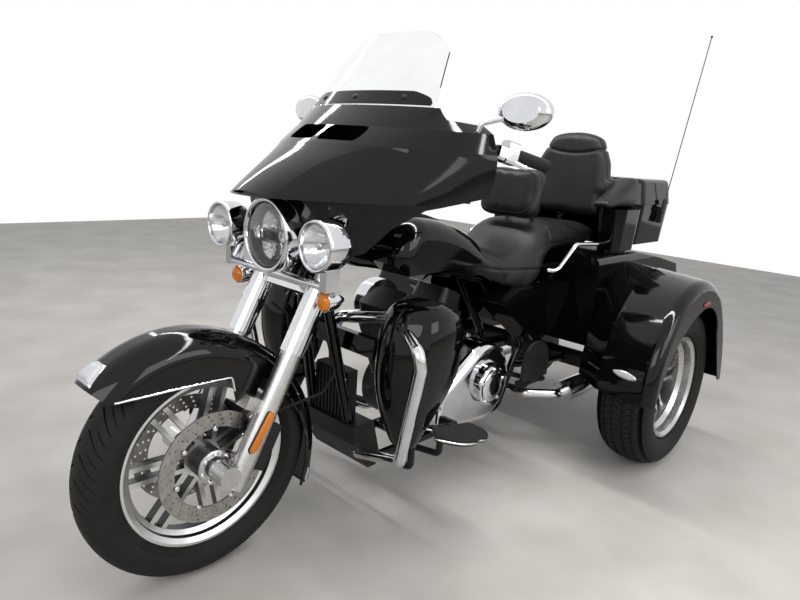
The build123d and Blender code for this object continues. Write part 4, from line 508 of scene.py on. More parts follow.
def finished(name, shape, material, sharp_angle=None):
    """The object made from a shape, with its faces outwards, smooth up to an angle if one is given."""
    bmesh.ops.recalc_face_normals(shape, faces=shape.faces)
    mesh = bpy.data.meshes.new(name)
    shape.to_mesh(mesh)
    shape.free()
    if sharp_angle:
        mesh.shade_smooth()
        mesh.set_sharp_from_angle(angle=math.radians(sharp_angle))
    return link_mesh(name, mesh, material)


def cut_plate(name, outline, holes, place, thickness, material):
    """A flat plate with holes: the outline is filled, and then given both faces and all its edges."""
    loops = [outline] + holes
    coords = [Vector(p) for loop in loops for p in loop]
    faces, edges, start = [], [], 0
    for loop in loops:
        count = len(loop)
        edges += [(start + k, start + (k + 1) % count) for k in range(count)]
        faces.append([start + k for k in range(count)])
        start += count
    verts, _, made_faces, _, _, face_from = delaunay_2d_cdt(coords, edges, faces, 1, 1e-6)
    kept = [f for f, source in zip(made_faces, face_from) if set(source) == {0}]
    count = len(verts)
    points = [place(v.x, v.y, out) for out in (thickness / 2, -thickness / 2) for v in verts]
    solid = [tuple(f) for f in kept] + [tuple(reversed([v + count for v in f])) for f in kept]
    walked = dict.fromkeys((a, b) for f in kept for a, b in zip(f, list(f[1:]) + [f[0]]))
    solid += [(b, a, a + count, b + count) for a, b in walked if (b, a) not in walked]
    plate = bmesh.new()
    corners = [plate.verts.new(p) for p in points]
    for face in solid:
        plate.faces.new([corners[v] for v in face])
    bmesh.ops.delete(plate, geom=[v for v in plate.verts if not v.link_faces], context="VERTS")
    return finished(name, plate, material)


def lathe(name, centre, axis, profile, material, steps=64, sharp_angle=35):
    """A turned piece: the profile's points are (distance along the axis, radius) from the centre."""
    axis = Vector(axis).normalized()
    side = axis.orthogonal().normalized()
    other = axis.cross(side)
    spun = bmesh.new()
    rings = []
    for along, radius in profile:
        middle = Vector(centre) + axis * along
        spots = [polar(radius, 2 * math.pi * k / steps) for k in range(steps)] if radius > 1e-6 else [(0, 0)]
        rings.append([spun.verts.new(middle + side * x + other * y) for x, y in spots])
    for low, high in zip(rings, rings[1:]):
        for k in range(steps):
            nk = (k + 1) % steps
            if len(low) == 1 and len(high) == 1:
                continue
            if len(low) == 1:
                spun.faces.new((low[0], high[nk], high[k]))
            elif len(high) == 1:
                spun.faces.new((low[k], low[nk], high[0]))
            else:
                spun.faces.new((low[k], low[nk], high[nk], high[k]))
    return finished(name, spun, material, sharp_angle)


def join_pieces(name, pieces):
    """One object from several, each keeping its own finish."""
    whole = bmesh.new()
    materials = []
    for piece in pieces:
        before = len(whole.faces)
        whole.from_mesh(piece.data)
        whole.faces.ensure_lookup_table()
        for face in whole.faces[before:]:
            own = piece.data.materials[face.material_index]
            if own not in materials:
                materials.append(own)
            face.material_index = materials.index(own)
        bpy.data.objects.remove(piece)
    mesh = bpy.data.meshes.new(name)
    whole.to_mesh(mesh)
    whole.free()
    return link_mesh(name, mesh, *materials)


drill_holes = []
for row in range(HOLE_ROWS):
    for step in range(3):
        spot = polar(HOLE_FIRST + HOLE_PITCH * step, 2 * math.pi * row / HOLE_ROWS + HOLE_SLANT * step)
        drill_holes.append(circle_loop(HOLE_RADIUS, 10, spot))
arm_turns = [math.pi / 2 + 2 * math.pi * arm / ARMS for arm in range(ARMS)]
windows = []
for arm_turn in arm_turns:
    window = []
    for reach, backwards in ((WINDOW_INNER, False), (WINDOW_OUTER, True)):
        gap = (ARM_WIDTH / 2) / reach
        a, b = arm_turn + gap, arm_turn + 2 * math.pi / ARMS - gap
        if backwards:
            a, b = b, a
        window += [polar(reach, a + (b - a) * k / WINDOW_STEPS) for k in range(WINDOW_STEPS + 1)]
    windows.append(window)
disc_pieces = []
for hand in (1, -1):
    def on_disc(y, z, out, hand=hand):
        return (FRONT_AXLE.x + hand * (DISC_OFFSET + out), FRONT_AXLE.y + y, FRONT_AXLE.z + z)

    disc_pieces += [
        cut_plate(
            "ring", circle_loop(DISC_RADIUS, 144), [circle_loop(DISC_INNER + 0.003, 96)] + drill_holes,
            on_disc, DISC_THICKNESS, stainless,
        ),
        cut_plate(
            "carrier", circle_loop(DISC_INNER + 0.006, 96), [circle_loop(CARRIER_BORE, 32)] + windows,
            lambda y, z, out: on_disc(y, z, out + CARRIER_OUT), CARRIER_THICKNESS, satin_alloy,
        ),
        lathe("hub_ring", on_disc(0, 0, 0.0045), (hand, 0, 0), HUB_RING, satin_alloy),
    ]
    for arm_turn in arm_turns:
        for reach, out in (RIM_BOLTS, HUB_BOLTS):
            spot = on_disc(*polar(reach, arm_turn), out)
            disc_pieces.append(lathe("bolt", spot, (hand, 0, 0), BOLT_HEAD, chrome, steps=16))
brake_discs = join_pieces("drilled_discs", disc_pieces)
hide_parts("front_discs")
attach(brake_discs, "front_wheel")

# Lamps: chromed buckets with bright bowls inside, behind clear glass.
# The headlamp holds four clear lenses, two of them D-shaped; the passing lamps have one bulb each.
REARWARD = (0, 1, 0)
HEADLAMP_HEIGHT = 0.902
HEADLAMP_RADIUS = 0.101
GLASS_RADIUS = 0.087
D_LENS_WIDTH, D_LENS_HEIGHT = 0.038, 0.046
D_LENS_RAISE = 0.022
SIDE_LENS_ACROSS, SIDE_LENS_RADIUS = 0.058, 0.0165
HEADLAMP_CUP = [
    (0.010, 0.087), (0.036, 0.083), (0.040, 0.078), (0.040, 0),
    (0.043, 0), (0.043, 0.083), (0.012, 0.089),
]
HEADLAMP_BEZEL = [(0, 0.087), (0.004, 0.084), (0.006, 0.080), (0.012, 0.080), (0.012, 0.087), (0, 0.087)]
SIDE_CUP = [
    (-0.006, 0.021), (-0.008, 0.0195), (0.004, 0.017), (0.006, 0),
    (0.008, 0), (0.008, 0.021), (-0.006, 0.021),
]
LENS_BRIDGE = [(0, 0), (0, 0.010), (0.004, 0.012), (0.014, 0.012), (0.014, 0)]
bowl_chrome = make_finish(
    "lamp_bowl_chrome", (40, 3.0), (0.62, 0.63, 0.64), (0.80, 0.81, 0.82), (0.06, 0.16),
    dict(kind=VORONOI, scale=95, stretch=(1, 0.4, 1)), (0.5, 0.0012), Metallic=1.0,
)
ribbed_glass = make_finish(
    "ribbed_lamp_glass", (20, 3.0), (0.94, 0.95, 0.96), (0.98, 0.985, 0.99), (0.01, 0.04),
    dict(kind="ShaderNodeTexWave", scale=38, bands_direction="X", Distortion=0.0), (0.25, 0.0006),
    IOR=1.49, Transmission_Weight=1.0,
)


def bridge(shape, rings):
    """Faces between each ring of points and the next."""
    for low, high in zip(rings, rings[1:]):
        count = len(low)
        for k in range(count):
            nk = (k + 1) % count
            shape.faces.new((low[k], low[nk], high[nk], high[k]))


def dome(name, centre, outline, height, material, rings=6):
    """A lens bulging forward from an outline of (X, height) points round its centre."""
    raised = bmesh.new()
    loops = []
    for ring in range(rings):
        share, rise = polar(1, math.pi / 2 * ring / rings)
        front = centre[1] - height * rise
        spots = [(centre[0] + x * share, front, centre[2] + z * share) for x, z in outline]
        loops.append([raised.verts.new(spot) for spot in spots])
    top = raised.verts.new((centre[0], centre[1] - height, centre[2]))
    back = raised.verts.new(centre)
    bridge(raised, loops)
    for k in range(len(outline)):
        nk = (k + 1) % len(outline)
        raised.faces.new((loops[-1][k], loops[-1][nk], top))
        raised.faces.new((loops[0][nk], loops[0][k], back))
    return finished(name, raised, material, 50)


def lamp_shell(centre, radius, depth, ring, material):
    """The outside of a lamp, with its rolled rim and an open front."""
    profile = [(ring + 0.002, radius - ring - 0.001), (0.002, radius - ring)]
    for step in range(7):
        inward, back = polar(ring * 0.5, math.pi * step / 6)
        profile.append((ring * 0.5 - back, radius - ring * 0.5 - inward))
    profile += [(ring, radius), (depth * 0.4, radius)]
    for step in range(1, 7):
        narrow, deep = polar(1, math.pi / 2 * step / 6)
        profile.append((depth * (0.4 + 0.6 * deep), radius * (0.3 + 0.7 * narrow)))
    profile.append((depth, 0))
    return lathe("shell", centre, REARWARD, profile, material)


def lamp_bowl(centre, radius, depth, material):
    """The bright bowl, as a thin dish open to the front."""
    profile = [(0.004, radius)]
    profile += [(0.004 + depth * (1 - (k / 8) ** 2), radius * k / 8) for k in range(7, 0, -1)]
    profile += [(0.004 + depth, 0), (0.006 + depth, 0), (0.006 + depth, radius * 0.5), (0.006, radius)]
    return lathe("bowl", centre, REARWARD, profile, material, sharp_angle=70)


def lamp_glass_piece(centre, radius, bulge, material):
    """The clear front: a thin dome, closed all round."""
    outer = [(-bulge * (1 - (k / 6) ** 2), radius * k / 6) for k in range(7)]
    inner = [(along + 0.003, out) for along, out in reversed(outer)]
    return lathe("glass", centre, REARWARD, outer + inner, material, sharp_angle=60)


head_centre = Vector((0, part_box("headlamp")[0][1], HEADLAMP_HEIGHT))
lens_plate = head_centre + Vector((0, 0.030, 0))
d_shape = []
for k in range(17):
    x, z = polar(1, math.pi * k / 16)
    d_shape.append((D_LENS_WIDTH * x, D_LENS_HEIGHT * z))
d_shape += [(-0.033, -0.006), (0.033, -0.006)]
head_parts = [
    lamp_shell(head_centre, HEADLAMP_RADIUS, 0.104, 0.013, chrome),
    lathe("cup", head_centre, REARWARD, HEADLAMP_CUP, black_plastic),
    lathe("bezel", head_centre + Vector((0, 0.008, 0)), REARWARD, HEADLAMP_BEZEL, black_plastic),
]
for turn in (1, -1):
    spot = lens_plate + Vector((0, 0, D_LENS_RAISE * turn))
    head_parts.append(dome("d_lens", spot, [(x, z * turn) for x, z in d_shape], 0.020, lamp_glass))
for side in (1, -1):
    spot = lens_plate + Vector((side * SIDE_LENS_ACROSS, 0, 0))
    head_parts.append(dome("side_lens", spot, circle_loop(SIDE_LENS_RADIUS, 24), 0.014, lamp_glass))
    head_parts.append(lathe("side_cup", spot, REARWARD, SIDE_CUP, bowl_chrome, steps=32))
for turn in (1, -1):
    edge = [(x * 1.12, z * 1.12 * turn) for x, z in d_shape]
    spot = lens_plate + Vector((0, 0.004, D_LENS_RAISE * turn))
    head_parts.append(dome("d_cup", spot, edge, 0.009, bowl_chrome, rings=4))
bridge_spot = lens_plate + Vector((0, -0.012, 0))
head_parts.append(lathe("bridge", bridge_spot, REARWARD, LENS_BRIDGE, black_plastic, steps=32))
head_parts.append(lamp_glass_piece(head_centre + Vector((0, 0.008, 0)), GLASS_RADIUS, 0.007, lamp_glass))
headlight = join_pieces("headlight", head_parts)
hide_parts("headlamp")
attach(headlight, "front_end")

PASSING_ACROSS, PASSING_HEIGHT = 0.218, 0.904
PASSING_RADIUS, PASSING_GLASS_RADIUS = 0.066, 0.056
BULB = [(0, 0), (0.001, 0.006), (0.004, 0.010), (0.010, 0.011), (0.010, 0.008), (0.040, 0.008), (0.040, 0)]
passing_parts = []
for side in (1, -1):
    centre = Vector((side * PASSING_ACROSS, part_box("passing_lamps")[0][1], PASSING_HEIGHT))
    inside = centre + Vector((0, 0.006, 0))
    passing_parts += [
        lamp_shell(centre, PASSING_RADIUS, 0.096, 0.010, chrome),
        lamp_bowl(inside, PASSING_GLASS_RADIUS, 0.045, bowl_chrome),
        lathe("bulb", centre + Vector((0, 0.012, 0)), REARWARD, BULB, satin_alloy, steps=32),
        lamp_glass_piece(inside, PASSING_GLASS_RADIUS, 0.006, ribbed_glass),
    ]
passing_lights = join_pieces("passing_lights", passing_parts)
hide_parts("passing_lamps")
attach(passing_lights, "front_end")

# Turn signals: amber bullet lenses pressed into small chromed housings under the lamp bar.
# The lens is a rounded cone, widest where the housing's rolled rim holds it.
SIGNAL_ACROSS, SIGNAL_HEIGHT = 0.200, 0.755
SIGNAL_LENS_DEPTH, SIGNAL_LENS_RADIUS = 0.020, 0.0245
SIGNAL_HOUSING = [
    (0.018, 0), (0.018, 0.024), (0.014, 0.0255), (0.015, 0.027), (0.032, 0.027),
    (0.050, 0.024), (0.066, 0.016), (0.078, 0.008), (0.078, 0),
]
signal_lens = [
    (SIGNAL_LENS_DEPTH * (k / 8) ** 2, SIGNAL_LENS_RADIUS * math.sin(math.pi / 2 * k / 8)) for k in range(9)
]
signal_lens.append((SIGNAL_LENS_DEPTH, 0))
signal_parts = []
for side in (1, -1):
    centre = Vector((side * SIGNAL_ACROSS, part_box("turn_signals")[0][1], SIGNAL_HEIGHT))
    signal_parts.append(lathe("housing", centre, REARWARD, SIGNAL_HOUSING, chrome, steps=40))
    signal_parts.append(lathe("lens", centre, REARWARD, signal_lens, amber_lens, steps=40, sharp_angle=60))
signals = join_pieces("bullet_signals", signal_parts)
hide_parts("turn_signals")
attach(signals, "front_end")

# The seat: leather over foam, a rider's bucket with deep skirts, and a flatter place behind it.
# The cover is swollen by simulated cloth from a slightly smaller form. A piped seam runs along each side.
SEAT_SECTIONS = (
    # (behind the front axle, half width, underside, top)
    (0.905, 0.070, 0.800, 0.858),
    (0.935, 0.110, 0.775, 0.868),
    (0.985, 0.150, 0.715, 0.850),
    (1.050, 0.182, 0.672, 0.826),
    (1.130, 0.190, 0.640, 0.812),
    (1.210, 0.190, 0.632, 0.818),
    (1.270, 0.190, 0.632, 0.850),
    (1.320, 0.186, 0.650, 0.893),
    (1.370, 0.176, 0.700, 0.912),
    (1.420, 0.166, 0.770, 0.912),
    (1.520, 0.166, 0.800, 0.902),
    (1.650, 0.168, 0.800, 0.892),
    (1.745, 0.168, 0.805, 0.900),
    (1.768, 0.160, 0.815, 0.895),
)
SEAT_STATIONS = 60
SEAT_STEPS = 64
SEAT_SQUARENESS = 3.0
HOLLOW_START, HOLLOW_END, HOLLOW_TOP, HOLLOW_WALL = 1.000, 1.420, 0.768, 0.024
SEAT_STEP = 1.392
SHRINK = 0.003
FOAM_PRESSURE = 4
CLOTH_FRAMES = 20


def make_leather():
    material, tree, shader = shader_base("seat_leather", Specular_IOR_Level=0.28)
    cloud = object_pattern(tree, NOISE, 9, Detail=5.0).outputs["Fac"]
    cells = relief_pattern(tree, VORONOI, 420, feature="DISTANCE_TO_EDGE")
    crease = relief_pattern(tree, NOISE, 60, Detail=6.0)
    tint(tree, shader, cloud, (0.006, 0.006, 0.0063), (0.012, 0.0118, 0.0118))
    tree.links.new(spread(tree, cloud, 0.36, 0.5), shader.inputs["Roughness"])
    grain = add_bump(tree, shader, cells, 0.35, 0.0004)
    add_bump(tree, grain, crease, 0.12, 0.002)
    return material


leather = make_leather()


def baked(piece):
    """The piece with its modifiers made part of its mesh."""
    graph = bpy.context.evaluated_depsgraph_get()
    mesh = bpy.data.meshes.new_from_object(piece.evaluated_get(graph))
    piece.modifiers.clear()
    piece.data = mesh
    return piece


def remeshed(piece, voxel):
    """The piece's form as an even net of small squares."""
    grid = piece.modifiers.new("net", "REMESH")
    grid.mode = "VOXEL"
    grid.voxel_size = voxel
    return baked(piece)


def read_vectors(values, key):
    """The vectors that a mesh keeps for each of its points, as rows of numbers."""
    flat = np.empty(len(values) * 3)
    values.foreach_get(key, flat)
    return flat.reshape(-1, 3)


def mesh_points(mesh):
    return read_vectors(mesh.vertices, "co")


def mesh_normals(mesh):
    return read_vectors(mesh.vertex_normals, "vector")


def move_points(mesh, points):
    mesh.vertices.foreach_set("co", points.ravel())
    mesh.update()


def softened(piece, rounds):
    """The piece with its net evened out, a little in each round."""
    net = bmesh.new()
    net.from_mesh(piece.data)
    every_way = dict(use_axis_x=True, use_axis_y=True, use_axis_z=True)
    for _ in range(rounds):
        bmesh.ops.smooth_vert(net, verts=net.verts, factor=0.5, **every_way)
    net.to_mesh(piece.data)
    net.free()


def inflate(piece, cap, soften, settle=6):
    """The foam pushes the cover out; no point moves further than the cap."""
    softened(piece, soften)
    move_points(piece.data, mesh_points(piece.data) - mesh_normals(piece.data) * SHRINK)
    start = mesh_points(piece.data)
    cloth = piece.modifiers.new("cover", "CLOTH")
    cloth.settings.effector_weights.gravity = 0
    cloth.settings.use_pressure = True
    cloth.settings.uniform_pressure_force = FOAM_PRESSURE
    cloth.settings.quality = 4
    cloth.settings.tension_stiffness = 20
    cloth.settings.bending_stiffness = 2.0
    cloth.point_cache.frame_start = 1
    cloth.point_cache.frame_end = CLOTH_FRAMES
    for frame_number in range(1, CLOTH_FRAMES + 1):
        bpy.context.scene.frame_set(frame_number)
    baked(piece)
    bpy.context.scene.frame_set(1)
    shift = mesh_points(piece.data) - start
    length = np.linalg.norm(shift, axis=1, keepdims=True)
    shift *= np.minimum(1, cap / np.maximum(length, 1e-9))
    move_points(piece.data, start + shift)
    softened(piece, settle)


def refine(piece):
    """One subdivision, so that the seams can be narrow."""
    finer = piece.modifiers.new("finer", "SUBSURF")
    finer.levels = finer.render_levels = 1
    baked(piece)
    piece.data.shade_smooth()
    return piece


def press_seam(piece, distance, width, depth, where):
    """The cover is pulled in along a line; the distance from the line is given for each point."""
    points = mesh_points(piece.data)
    pull = depth * np.exp(-((distance(points) / width) ** 2)) * where(points)
    move_points(piece.data, points - mesh_normals(piece.data) * pull[:, None])


def close_ends(shape, rings):
    """A face over the first ring and one over the last."""
    shape.faces.new(rings[0])
    shape.faces.new(list(reversed(rings[-1])))


def tube(name, route, radius, material, closed=False, steps=12):
    """A round bar or cord along a route of points."""
    route = [Vector(p) for p in route]
    count = len(route)
    bar = bmesh.new()
    rings = []
    up = None
    for k, point in enumerate(route):
        before = route[k - 1] if k > 0 or closed else route[k]
        after = route[(k + 1) % count] if k < count - 1 or closed else route[k]
        along = (after - before).normalized()
        if up is None:
            up = along.orthogonal().normalized()
        up = (up - along * up.dot(along)).normalized()
        side = along.cross(up)
        spots = [polar(radius, 2 * math.pi * s / steps) for s in range(steps)]
        rings.append([bar.verts.new(point + up * x + side * y) for x, y in spots])
    bridge(bar, rings + rings[:1] if closed else rings)
    if not closed:
        close_ends(bar, rings)
    return finished(name, bar, material, 50)


def surface_of(piece):
    """A lookup for points on the piece's surface."""
    net = bmesh.new()
    net.from_mesh(piece.data)
    tree = BVHTree.FromBMesh(net)
    net.free()
    return tree


def signed_power(value, power):
    return math.copysign(abs(value) ** power, value)


def form_seat():
    """A closed form through the sections, hollow underneath where the frame passes."""
    columns = [np.array(c) for c in zip(*SEAT_SECTIONS)]
    places = np.linspace(columns[0][0], columns[0][-1], SEAT_STATIONS)
    even = [np.interp(places, columns[0], c) for c in columns[1:]]
    blend = np.array([1, 2, 3, 2, 1]) / 9
    even = [np.convolve(np.pad(c, 2, mode="edge"), blend, mode="valid") for c in even]
    form = bmesh.new()
    rings = []
    for place, half_width, low, high in zip(places, *even):
        middle, rise = (low + high) / 2, (high - low) / 2
        ring = []
        for k in range(SEAT_STEPS):
            across, lift = polar(1, 2 * math.pi * (k + 0.5) / SEAT_STEPS)
            x = half_width * signed_power(across, 2 / SEAT_SQUARENESS)
            z = middle + rise * signed_power(lift, 2 / SEAT_SQUARENESS)
            inside = abs(x) < half_width - HOLLOW_WALL and HOLLOW_START < place < HOLLOW_END
            if lift < 0 and inside:
                z = max(z, HOLLOW_TOP)
            ring.append(form.verts.new((x, FRONT_AXLE.y + place, z)))
        rings.append(ring)
    bridge(form, rings)
    close_ends(form, rings)
    return finished("seat_cover", form, leather)


def seat_seam_height(place):
    return np.interp(place, (0.920, 1.330, 1.420, 1.768), (0.772, 0.742, 0.830, 0.845))


seat_cover = remeshed(form_seat(), 0.006)
inflate(seat_cover, cap=0.008, soften=6)
refine(seat_cover)
press_seam(
    seat_cover,
    lambda p: p[:, 2] - seat_seam_height(p[:, 1] - FRONT_AXLE.y),
    width=0.0045, depth=0.003,
    where=lambda p: np.clip((np.abs(p[:, 0]) - 0.06) / 0.05, 0, 1),
)
press_seam(
    seat_cover,
    lambda p: p[:, 1] - FRONT_AXLE.y - SEAT_STEP - 0.6 * np.abs(p[:, 0]) ** 2,
    width=0.006, depth=0.005,
    where=lambda p: np.clip((p[:, 2] - 0.83) / 0.03, 0, 1),
)
seat_surface = surface_of(seat_cover)
seat_pieces = [seat_cover]
for hand in (1, -1):
    route = []
    for place in np.linspace(0.935, 1.740, 90):
        start = Vector((hand * 0.4, FRONT_AXLE.y + float(place), float(seat_seam_height(place))))
        hit = seat_surface.ray_cast(start, Vector((-hand, 0, 0)))[0]
        if hit is not None:
            route.append(hit - Vector((hand * 0.0008, 0, 0)))
    seat_pieces.append(tube("piping", route, 0.0022, leather, steps=8))
seat_piece = join_pieces("seat_cushion", seat_pieces)
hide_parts("seat")
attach(seat_piece, "chassis")

# The backrests: the rider's is a small upright pad with piping round its front edge.
# The passenger's has a headrest above a seam, and arms that wrap forward on both sides.
RIDER_REST = Vector((0, FRONT_AXLE.y + 1.346, 1.018))
RIDER_LEAN = math.radians(12)
RIDER_HALF_WIDTH, RIDER_HALF_HEIGHT = 0.134, 0.098
HEADREST_SEAM = 1.190


def cover_from(node_name, name, voxel, soften):
    """A cushion grown from a CAD solid's own form."""
    mesh = nodes[node_name].data.copy()
    mesh.transform(nodes[node_name].matrix_world)
    mesh.materials.clear()
    piece = link_mesh(name, mesh, leather)
    merged = bmesh.new()
    merged.from_mesh(piece.data)
    bmesh.ops.remove_doubles(merged, verts=merged.verts, dist=1e-6)
    merged.to_mesh(piece.data)
    merged.free()
    remeshed(piece, voxel)
    inflate(piece, 0.007, soften, settle=14)
    return refine(piece)


rider_cover = cover_from("rider_backrest", "rider_cover", 0.005, 20)
rest_up = Vector((0, math.sin(RIDER_LEAN), math.cos(RIDER_LEAN)))
rest_ahead = Vector((0, -math.cos(RIDER_LEAN), math.sin(RIDER_LEAN)))
rider_surface = surface_of(rider_cover)
edge_route = []
for k in range(96):
    turn = 2 * math.pi * k / 96
    across = 0.86 * RIDER_HALF_WIDTH * signed_power(math.cos(turn), 0.45)
    lift = 0.84 * RIDER_HALF_HEIGHT * signed_power(math.sin(turn), 0.45)
    start = RIDER_REST + Vector((1, 0, 0)) * across + rest_up * lift + rest_ahead * 0.2
    hit = rider_surface.ray_cast(start, -rest_ahead)[0]
    if hit is not None:
        edge_route.append(hit)
rider_piping = tube("piping", edge_route, 0.0024, leather, closed=True, steps=8)
rider_piece = join_pieces("rider_cushion", [rider_cover, rider_piping])
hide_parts("rider_backrest")
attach(rider_piece, "chassis")

passenger_cover = cover_from("passenger_backrest", "passenger_cover", 0.006, 24)
press_seam(
    passenger_cover,
    lambda p: p[:, 2] - HEADREST_SEAM - 1.2 * p[:, 0] ** 2,
    width=0.007, depth=0.007,
    where=lambda p: np.clip((0.19 - np.abs(p[:, 0])) / 0.03, 0, 1),
)
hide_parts("passenger_backrest")
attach(passenger_cover, "chassis")

# Windshield strip: black metal along the foot of the clear windshield, held by three round bolts.
# The strip is bent to the windshield's own front face, and the bolts stand through it.
STRIP_HALF = 0.245
STRIP_FOOT, STRIP_RISE = 0.004, 0.030
STRIP_OUT, STRIP_BACK = 0.0025, 0.0008
STRIP_BOLTS = (-0.165, 0, 0.165)
STRIP_BOLT_HEIGHT = 0.024
BOLT_COVER = [(0, 0), (0, 0.0085), (0.0015, 0.0085), (0.0035, 0.0070), (0.0042, 0.0040), (0.0042, 0)]
screen_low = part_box("windshield")[0]
screen_surface = surface_of(nodes["windshield"])


def on_screen(across, height):
    """The windshield's front face at a place across it and a height above its foot, and its way out."""
    start = Vector((across, screen_low[1] - 0.6, screen_low[2] + height))
    hit, normal, _, _ = screen_surface.ray_cast(start, Vector((0, 1, 0)))
    if hit is None:
        return None, None
    return hit, normal if normal.y < 0 else -normal


strip = bmesh.new()
strip_rings = []
for across in np.linspace(-STRIP_HALF, STRIP_HALF, 61):
    share = 1 - abs(float(across)) / STRIP_HALF
    tall = 0.012 + STRIP_RISE * min(1, share * 4) ** 0.5
    corners = ((STRIP_FOOT, STRIP_OUT), (tall, STRIP_OUT), (tall, STRIP_BACK), (STRIP_FOOT, STRIP_BACK))
    found = [(*on_screen(float(across), height), out) for height, out in corners]
    if all(hit is not None for hit, _, _ in found):
        strip_rings.append([strip.verts.new(hit + face * out) for hit, face, out in found])
bridge(strip, strip_rings)
close_ends(strip, strip_rings)
screen_parts = [finished("strip", strip, gloss_black)]
for across in STRIP_BOLTS:
    hit, face = on_screen(across, STRIP_BOLT_HEIGHT)
    screen_parts.append(lathe("strip_bolt", hit + face * 0.002, face, BOLT_COVER, black_plastic, steps=24))
screen_trim = join_pieces("screen_strip", screen_parts)
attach(screen_trim, "front_end")

# Front fender trim: a pale tip lens on a chromed base, a chromed strip along each edge, and a foot plate.
# Each one is laid on the fender's own surface, found by looking in towards the axle or from the side.
TIP_BASE_TURN, TIP_LENS_TURN = 8.5, 6.6
FOOT_PLATE_TURN, FOOT_PANEL_TURN = 8.2, 5.8
STRIP_TURN = 62
STRIP_RADIUS = 0.0032
PATCH_FOOT = 0.0004


def patch(name, surface, ray_at, height_at, rows, columns, material):
    """A thin closed pad on a surface; ray_at gives where to look for it, height_at how far it stands out."""
    pad = bmesh.new()
    tops, feet = [], []
    for row in range(rows):
        tops.append([])
        feet.append([])
        for column in range(columns):
            u, v = row / (rows - 1), column / (columns - 1)
            start, way = (Vector(c) for c in ray_at(u, v))
            hit, normal, _, _ = surface.ray_cast(start, way)
            if hit is None:
                tops[-1].append(None)
                feet[-1].append(None)
                continue
            face = normal if normal.dot(way) < 0 else -normal
            tops[-1].append(pad.verts.new(hit + face * height_at(u, v)))
            feet[-1].append(pad.verts.new(hit + face * PATCH_FOOT))
    for r in range(rows - 1):
        for c in range(columns - 1):
            for layer, flip in ((tops, False), (feet, True)):
                corners = [layer[r][c], layer[r][c + 1], layer[r + 1][c + 1], layer[r + 1][c]]
                if all(corners):
                    pad.faces.new(corners[::-1] if flip else corners)
    foot_of = {top: foot for line in zip(tops, feet) for top, foot in zip(*line) if top}
    for edge in [e for e in pad.edges if len(e.link_faces) == 1]:
        a, b = edge.verts
        if a in foot_of and b in foot_of:
            pad.faces.new((a, b, foot_of[b], foot_of[a]))
    return finished(name, pad, material, 40)


def pillow(u, v, height, edge=0.12):
    """The height of a pad with rounded edges."""
    rim = min(u, 1 - u, v, 1 - v) / edge
    return 0.0008 + height * math.sqrt(max(0.0, 1 - max(0.0, 1 - rim) ** 2))


def outward(degrees):
    """The way out from the front axle, at an angle up from straight ahead."""
    turn = math.radians(degrees)
    return Vector((0, -math.cos(turn), math.sin(turn)))


def radial_ray(degrees, across):
    out = outward(degrees)
    return FRONT_AXLE + out * 0.7 + Vector((across, 0, 0)), -out


def side_ray(hand, degrees, reach):
    return FRONT_AXLE + outward(degrees) * reach + Vector((hand * 0.3, 0, 0)), Vector((-hand, 0, 0))


fender_surface = surface_of(nodes["front_fender"])
fender_turns = [d for d in range(-20, 230) if fender_surface.ray_cast(*radial_ray(d, 0), 0.4)[0] is not None]
nose_turn, tail_turn = fender_turns[0], fender_turns[-1]
fender_trim = [
    patch(
        "tip_base", fender_surface,
        lambda u, v: radial_ray(nose_turn + 0.6 + TIP_BASE_TURN * u, (v - 0.5) * (0.074 - 0.03 * u)),
        lambda u, v: pillow(u, v, 0.004), 22, 22, chrome,
    ),
    patch(
        "tip_lens", fender_surface,
        lambda u, v: radial_ray(nose_turn + 1.4 + TIP_LENS_TURN * u, (v - 0.5) * (0.060 - 0.026 * u)),
        lambda u, v: 0.004 + pillow(u, v, 0.008, 0.3), 22, 22, pale_lens,
    ),
]
for hand in (1, -1):
    fender_trim.append(patch(
        "foot_plate", fender_surface,
        lambda u, v, hand=hand: side_ray(hand, tail_turn - 0.8 - FOOT_PLATE_TURN * u, 0.326 + 0.040 * v),
        lambda u, v: pillow(u, v, 0.002), 20, 20, chrome,
    ))
    fender_trim.append(patch(
        "foot_panel", fender_surface,
        lambda u, v, hand=hand: side_ray(hand, tail_turn - 2.0 - FOOT_PANEL_TURN * u, 0.332 + 0.028 * v),
        lambda u, v: 0.002 + pillow(u, v, 0.001), 20, 20, satin_alloy,
    ))
for hand in (1, -1):
    route = []
    for degrees in np.linspace(nose_turn + 1, nose_turn + STRIP_TURN, 70):
        for reach in np.arange(0.190, 0.460, 0.0015):
            hit = fender_surface.ray_cast(*side_ray(hand, float(degrees), float(reach)), 0.299)[0]
            if hit is not None:
                route.append(hit + outward(float(degrees)) * 0.004)
                break
    inner = [(a + b * 2 + c) / 4 for a, b, c in zip(route, route[1:], route[2:])]
    fender_trim.append(tube("edge_strip", [route[0]] + inner + [route[-1]], STRIP_RADIUS, chrome))
fender_pieces = join_pieces("fender_trim", fender_trim)
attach(fender_pieces, "front_end")

# Fork reflectors: long amber bars on the outer sides of the calipers.
# Each has rounded ends and stands on a thin black foot.
REFLECTOR_OUT = 0.150
REFLECTOR_HIGH = Vector((0, FRONT_AXLE.y + 0.122, 0.470))
REFLECTOR_LOW = Vector((0, FRONT_AXLE.y + 0.056, 0.368))
FOOT_HALF_WIDTH, REFLECTOR_HALF_WIDTH = 0.0135, 0.0105


def bar_outline(length, radius, steps=12):
    """A bar with round ends, as points along and across it."""
    straight = length / 2 - radius
    upper = []
    for k in range(steps + 1):
        across, along = polar(radius, math.pi * k / steps)
        upper.append((straight + along, across))
    return upper + [(-x, -z) for x, z in upper]


